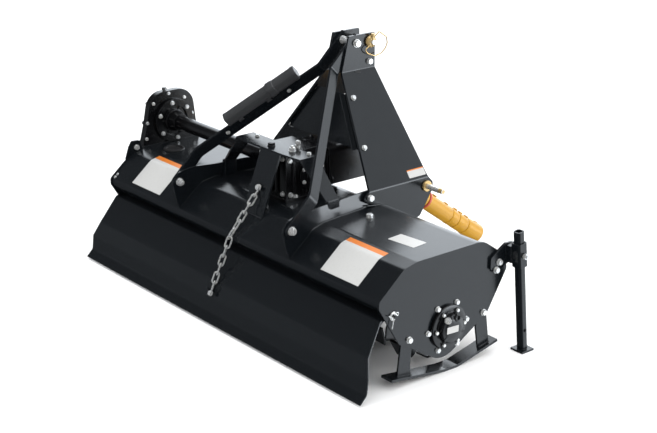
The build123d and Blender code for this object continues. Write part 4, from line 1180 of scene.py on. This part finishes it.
def canister(centre, along, up):
    """The manual case: a fluted, nearly square tube with a collar and two caps."""
    u, v, _ = (k[0] for k in frames([along]))
    side = np.cross(up, along)
    spin = np.arctan2(side @ v, side @ u)
    t = circle(144)
    oval = (np.abs(np.cos(t) / 26) ** 4 + np.abs(np.sin(t) / 25) ** 4) ** -0.25
    flute = 1 - 0.045 * np.clip(np.cos(24 * t) * 2.2 + 0.6, 0, 1)
    # (distance along, share of the size, whether fluted)
    rows = [(-176, 0, 0), (-176, 0.92, 0), (-175, 0.97, 0), (-172, 1.0, 0), (-168, 1.02, 0), (-160, 1.02, 0),
            (-158, 0.98, 0), (-156, 0.98, 1), (-72, 0.98, 1), (-70, 0.98, 0), (-68, 1.05, 0), (-52, 1.08, 0),
            (-40, 1.08, 0), (-37, 1.0, 0), (-34, 0.93, 0), (-32, 0.93, 1), (160, 0.93, 1), (162, 0.93, 0),
            (164, 0.96, 0), (171, 0.96, 0), (175, 0.92, 0), (176, 0.86, 0), (176, 0, 0)]
    radii = np.array([oval * share * (flute if fluted else 1) for _, share, fluted in rows])
    return stack(radii, [row[0] for row in rows], [centre], [along], np.array([spin]))


class TILLER_OT_manual_case(bpy.types.Operator):
    """The ribbed manual canister with its collar and cap, in place of the plain one"""
    bl_idname = "tiller.manual_case"
    bl_label = "Manual case"

    def execute(self, context):
        low, high = mm("manual_case")
        centre, lift = (low + high) / 2, 7.0
        centre = centre + Z * lift
        (start, x0), (end, x1) = BRACE_OUT[1:3]
        along = unit([(x0 - x1) / (end - start), *BRACE_WAY])
        up = np.array([0.0, -BRACE_WAY[1], BRACE_WAY[0]]) * np.sign(BRACE_WAY[0])
        case = make("manual_canister", canister(centre, along, up), "frame", slot_of("manual_case"), sharp=35)
        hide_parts("manual_case")
        side, clips = np.cross(up, along), []
        for h in (-20, 120):
            c = centre + along * h - up * 21
            path = [c - up * 9 + side * 20, c + side * 24, c + up * 8 + side * 25]
            clips.append(ribbon(path, strip(22, 3, 1), along))
        make("manual_case_clips", joined(*clips), "frame", "black_plastic")
        return {"FINISHED"}


def pin_ring():
    """The top pin's linch pin: a drop pin with a ball and a sprung wire ring."""
    y, z = TOP_PIN
    # (y, z, bend radius) of the wire
    loop = ((333, 1043, 0), (369, 1073, 7), (406, 1046, 7), (410, 1022, 9), (402, 1002, 9), (381, 983, 12),
            (347, 976, 12), (312, 991, 9), (300, 1007, 6), (334, 1030, 0))
    path = bent(loop, 7)
    wire = np.insert(path, 0, np.interp(path[:, 0], (300, 410), (66, 73)), axis=1)
    drop = [(0, -17), (4.4, -17), (4.4, 24), (7.5, 24), (8.5, 26), (8.5, 33), (7, 35), (0, 35)]
    ball = [(0, -9), (6, -8), (8.5, -4), (9, 0), (8.5, 4), (6, 8), (0, 9)]
    return joined(sweep(wire, 2.3, 12, up=X), lathe(drop, (71, y, z), Z, 24),
                  lathe(ball, (70, y + 1, z + 3), unit([0.6, 0.5, 0.6]), 24))


def split_pin(side):
    """A washer and a split pin at one end of the tailgate's rod, the pin's legs spread."""
    y, z = HINGE
    washer = [(7.2, 0), (16, 0), (17, 0.8), (17, 2.6), (16, 3.4), (7.2, 3.4)]
    x = side * (SIDE + 9)
    centre = np.array([x, y, z])
    eye = [centre + (0, 11 + 6 * np.cos(t), 8 + 6 * np.sin(t)) for t in np.linspace(-2.4, 2.4, 12)]
    down = centre + [(side * 1.5, -6, -9), (side * 2.5, -11, -26), (side * 2.5, -14, -42)]
    back = centre + [(-side, -9, -2), (0, -19, 3), (0, -28, 9)]
    return [lathe(washer, (side * SIDE, y, z), side * X, 40, closed=True), sweep(eye, 2.0, 10, up=X),
            sweep([eye[0], *down], 2.2, 10, up=X), sweep([eye[-1], *back], 2.0, 10, up=X)]


def lower_pin_collar(side):
    """A lower hitch pin's collar, the nut behind its plate and its turned tip."""
    collar = [(11.2, 0), (21, 0), (22.5, 2), (22.5, 8), (21, 10.5), (11.2, 10.5)]
    tip = [(0, 77), (10.5, 77), (10.5, 96), (8, 100.2), (0, 100.2)]
    place = (side * SPLAY[0], *LOWER_PIN)
    nut = [((side * (SPLAY[0] - PLATE), *LOWER_PIN), -side * X)]
    return [lathe(collar, place, side * X, 48, closed=True), fasteners("nut", nut, across=34, washer=1.15),
            lathe(tip, place, side * X, 32)]


class TILLER_OT_pins(bpy.types.Operator):
    """The top pin's wire ring, the hinge rod's washers and split pins, and the lower pins' collars"""
    bl_idname = "tiller.pins"
    bl_label = "Pins"

    def execute(self, context):
        ring = make("top_pin_ring", pin_ring(), "frame", slot_of("top_linch_pin"), sharp=50)
        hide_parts("top_linch_pin")
        knob = [(9.6, 0.2), (20, 0.2), (24, 2), (25, 7), (23, 13), (16, 17.5), (9.6, 18)]
        collar = lathe(knob, (HEAD, *TOP_PIN), X, 48, closed=True)
        make("top_pin_collar", collar, "frame", "yellow_zinc", sharp=50)
        make("hinge_split_pins", joined(*split_pin(1), *split_pin(-1)), "frame", "zinc", sharp=50)
        collars = joined(*lower_pin_collar(1), *lower_pin_collar(-1))
        make("lower_pin_collars", collars, "frame", "yellow_zinc", sharp=40)
        return {"FINISHED"}


def tine_rows(bolt_radius, half_gap):
    """The heads' and nuts' (place, axis): two bolts through each tine's foot. Each inner flange has three
    tines turned each way, the outer ones six turned inwards, and each flange is a step further round."""
    count, step, end = 9, 15, mm("tine_flanges")[1][0] - 5
    heads, nuts = [], []
    for i in range(count):
        x = -end + i * 2 * end / (count - 1)
        if 0 < i < count - 1:
            hands = [(hand, 120 * k + turn) for hand, turn in ((1, 0), (-1, 60)) for k in range(3)]
        else:
            hands = [(1 if i == 0 else -1, 60 * k) for k in range(6)]
        for hand, turn in hands:
            t = radians(step * i + turn)
            out, round_ = np.array([0, -np.sin(t), np.cos(t)]), np.array([0, np.cos(t), np.sin(t)])
            for y in (-half_gap, half_gap):
                place = Z * AXIS + y * round_ + bolt_radius * out
                heads.append((place + X * (x + hand * 13), hand * X))
                nuts.append((place + X * (x - hand * 5), -hand * X))
    return heads, nuts


class TILLER_OT_rotor_bolts(bpy.types.Operator):
    """Two bolts through each tine's foot into its flange"""
    bl_idname = "tiller.rotor_bolts"
    bl_label = "Rotor bolts"

    def execute(self, context):
        heads, nuts = tine_rows(61.0, 11.0)
        fix("tine_bolts", "hex", "rotor", heads, across=14, washer=1.12, slot="shaft_steel")
        fix("tine_nuts", "nut", "rotor", nuts, across=14, washer=1.12, slot="shaft_steel")
        return {"FINISHED"}


# ------------------------------------------------------------------ welds and trim
def arm_welds():
    """A bead along each side of each web's foot."""
    line, plan = bent(HOOD_LINE), bent(ARM_LINE, 10)
    y = np.linspace(-320, 66, 70)
    x = np.interp(y, plan[:, 0], plan[:, 1]) + ARM_THICK / 2 + 1
    outer = np.stack([x, y, np.interp(y, line[:, 0], line[:, 1]) + 1], 1)
    inner = outer - [ARM_THICK + 1, 0, 0]
    return [weld(foot * [s, 1, 1], size) for foot, size in ((outer, 3.6), (inner, 3.2)) for s in SIDES]


def side_welds(s):
    """One side's beads at the hitch plate's foot and round the skid's tabs."""
    foot = [(s * SPLAY[0], 150, DECK + 1), (s * SPLAY[0], 128, DECK + 1), (s * SPLAY[0], 80, DECK + 8)]
    # x, ends (y, z), bead
    tabs = ((INNER, (-232, 171), (-205, 172), 3.0), (INNER, (172, 37), (226, 49), 3.4),
            (INNER, (-232, 34), (-174, 25), 3.4), (SIDE, (178, 24), (232, 44), 3.2),
            (SIDE, (-228, 33), (-180, 25), 3.2))
    return [weld(foot)] + [weld([(s * x, *a), (s * x, *b)], size) for x, a, b, size in tabs]


class TILLER_OT_welds(bpy.types.Operator):
    """Weld beads where the sheets meet"""
    bl_idname = "tiller.welds"
    bl_label = "Welds"

    def execute(self, context):
        beads = arm_welds()
        beads += [weld([(s * 341, -116, 531), (s * 336, -58, 531)], 3.4) for s in SIDES]
        beads += side_welds(1) + side_welds(-1)
        beads += [weld([(x, -253, 417), (x, -227, 439)]) for x in (-30, 92)]
        make("welds", joined(*beads), "frame", "graphite_paint", sharp=80)
        knuckles = [weld([(x + 2, -270, 276), (x + 58, -270, 276)], 2.6) for x in (-876, -310, 250, 816)]
        make("tailgate_welds", joined(*knuckles), "tailgate_gate", "graphite_paint", sharp=80)
        return {"FINISHED"}


def shield_folds():
    """The shield's right edge folded a little out of its plane, with a bead along the fold."""
    low, high = mm("input_shield")
    place, _ = splay(high[1] - 4, high[2])
    foot, head = np.array([high[0], low[1], low[2]]), place - X * 12.4
    across, inset = unit([0.88, 0.47, 0.0]), np.array([32.0, 8.0, 0.0])
    fold = inset + across * 11 + Y
    strip_shape = rib(foot - inset, head - inset, 20, 3, 1.2, across)
    return joined(strip_shape, sweep([foot - fold, head - fold], 1.8, 10))


class TILLER_OT_trim(bpy.types.Operator):
    """The shield's folds, the grommet in the deck, and a dark half-moon sheet on the hitch plate: painted
    shade standing for the shade in its notch
    """
    bl_idname = "tiller.trim"
    bl_label = "Trim"

    def execute(self, context):
        make("shield_flanges", shield_folds(), "frame", "graphite_paint")
        place = (-775, -72, DECK)
        ring = [(30, 0.4), (46, 0.4), (47, 2), (45, 6), (40, 7.5), (34, 6), (31, 3.5)]
        plug = [(0, 0.4), (32, 0.4), (32, 2.6), (26, 3.6), (12, 2.4), (0, 2.2)]
        grommet = joined(lathe(ring, place, Z, 64, closed=True), lathe(plug, place, Z, 64))
        make("deck_grommet", grommet, "frame", "black_plastic", black_rubber())
        # painted shade: a thin black sheet on the hitch plate stands for the shade inside its half-round notch
        t = np.linspace(np.pi, 2 * np.pi, 20)
        moon = np.stack([17 * np.cos(t), 13 * np.sin(t)], 1)
        place, n = splay(270, BEND - 8, 0.15)
        cut = slab(moon - moon.mean(0), place, Y, np.cross(n, Y), 0.5)
        make("half_moon_painted_shade", cut[:2], "frame", "gloss_black", black_rubber())
        return {"FINISHED"}


STEPS = (TILLER_OT_stage, TILLER_OT_finishes, TILLER_OT_arms, TILLER_OT_input_guard, TILLER_OT_plate_bolts,
         TILLER_OT_hitch_bolts, TILLER_OT_drive_case_fittings, TILLER_OT_gearbox_fittings, TILLER_OT_hub,
         TILLER_OT_labels, TILLER_OT_chain, TILLER_OT_guards, TILLER_OT_manual_case, TILLER_OT_pins,
         TILLER_OT_rotor_bolts, TILLER_OT_welds, TILLER_OT_trim)


class TILLER_PT_panel(bpy.types.Panel):
    """The steps that dress the frame"""
    bl_label = "Rotary tiller"
    bl_idname = "TILLER_PT_panel"
    bl_space_type = "VIEW_3D"
    bl_region_type = "UI"
    bl_category = "Tiller"

    def draw(self, context):
        for title, group in (("Colours", context.scene.tiller_colours), ("Sizes", context.scene.tiller_sizes)):
            box = self.layout.box()
            box.label(text=title)
            for key in group.__annotations__:
                box.prop(group, key)
        column = self.layout.column(align=True)
        for step in STEPS:
            column.operator(step.bl_idname)


CLASSES = (TillerColours, TillerSizes, *STEPS, TILLER_PT_panel)


def register():
    for cls in CLASSES:
        bpy.utils.register_class(cls)
    bpy.types.Scene.tiller_colours = PointerProperty(type=TillerColours)
    bpy.types.Scene.tiller_sizes = PointerProperty(type=TillerSizes)


def unregister():
    del bpy.types.Scene.tiller_sizes
    del bpy.types.Scene.tiller_colours
    for cls in reversed(CLASSES):
        bpy.utils.unregister_class(cls)


def main():
    register()
    for step in STEPS:
        family, action = step.bl_idname.split(".")
        if getattr(getattr(bpy.ops, family), action)() != {"FINISHED"}:
            raise RuntimeError(f"{step.bl_label} did not finish")


if __name__ == "__main__":
    main()
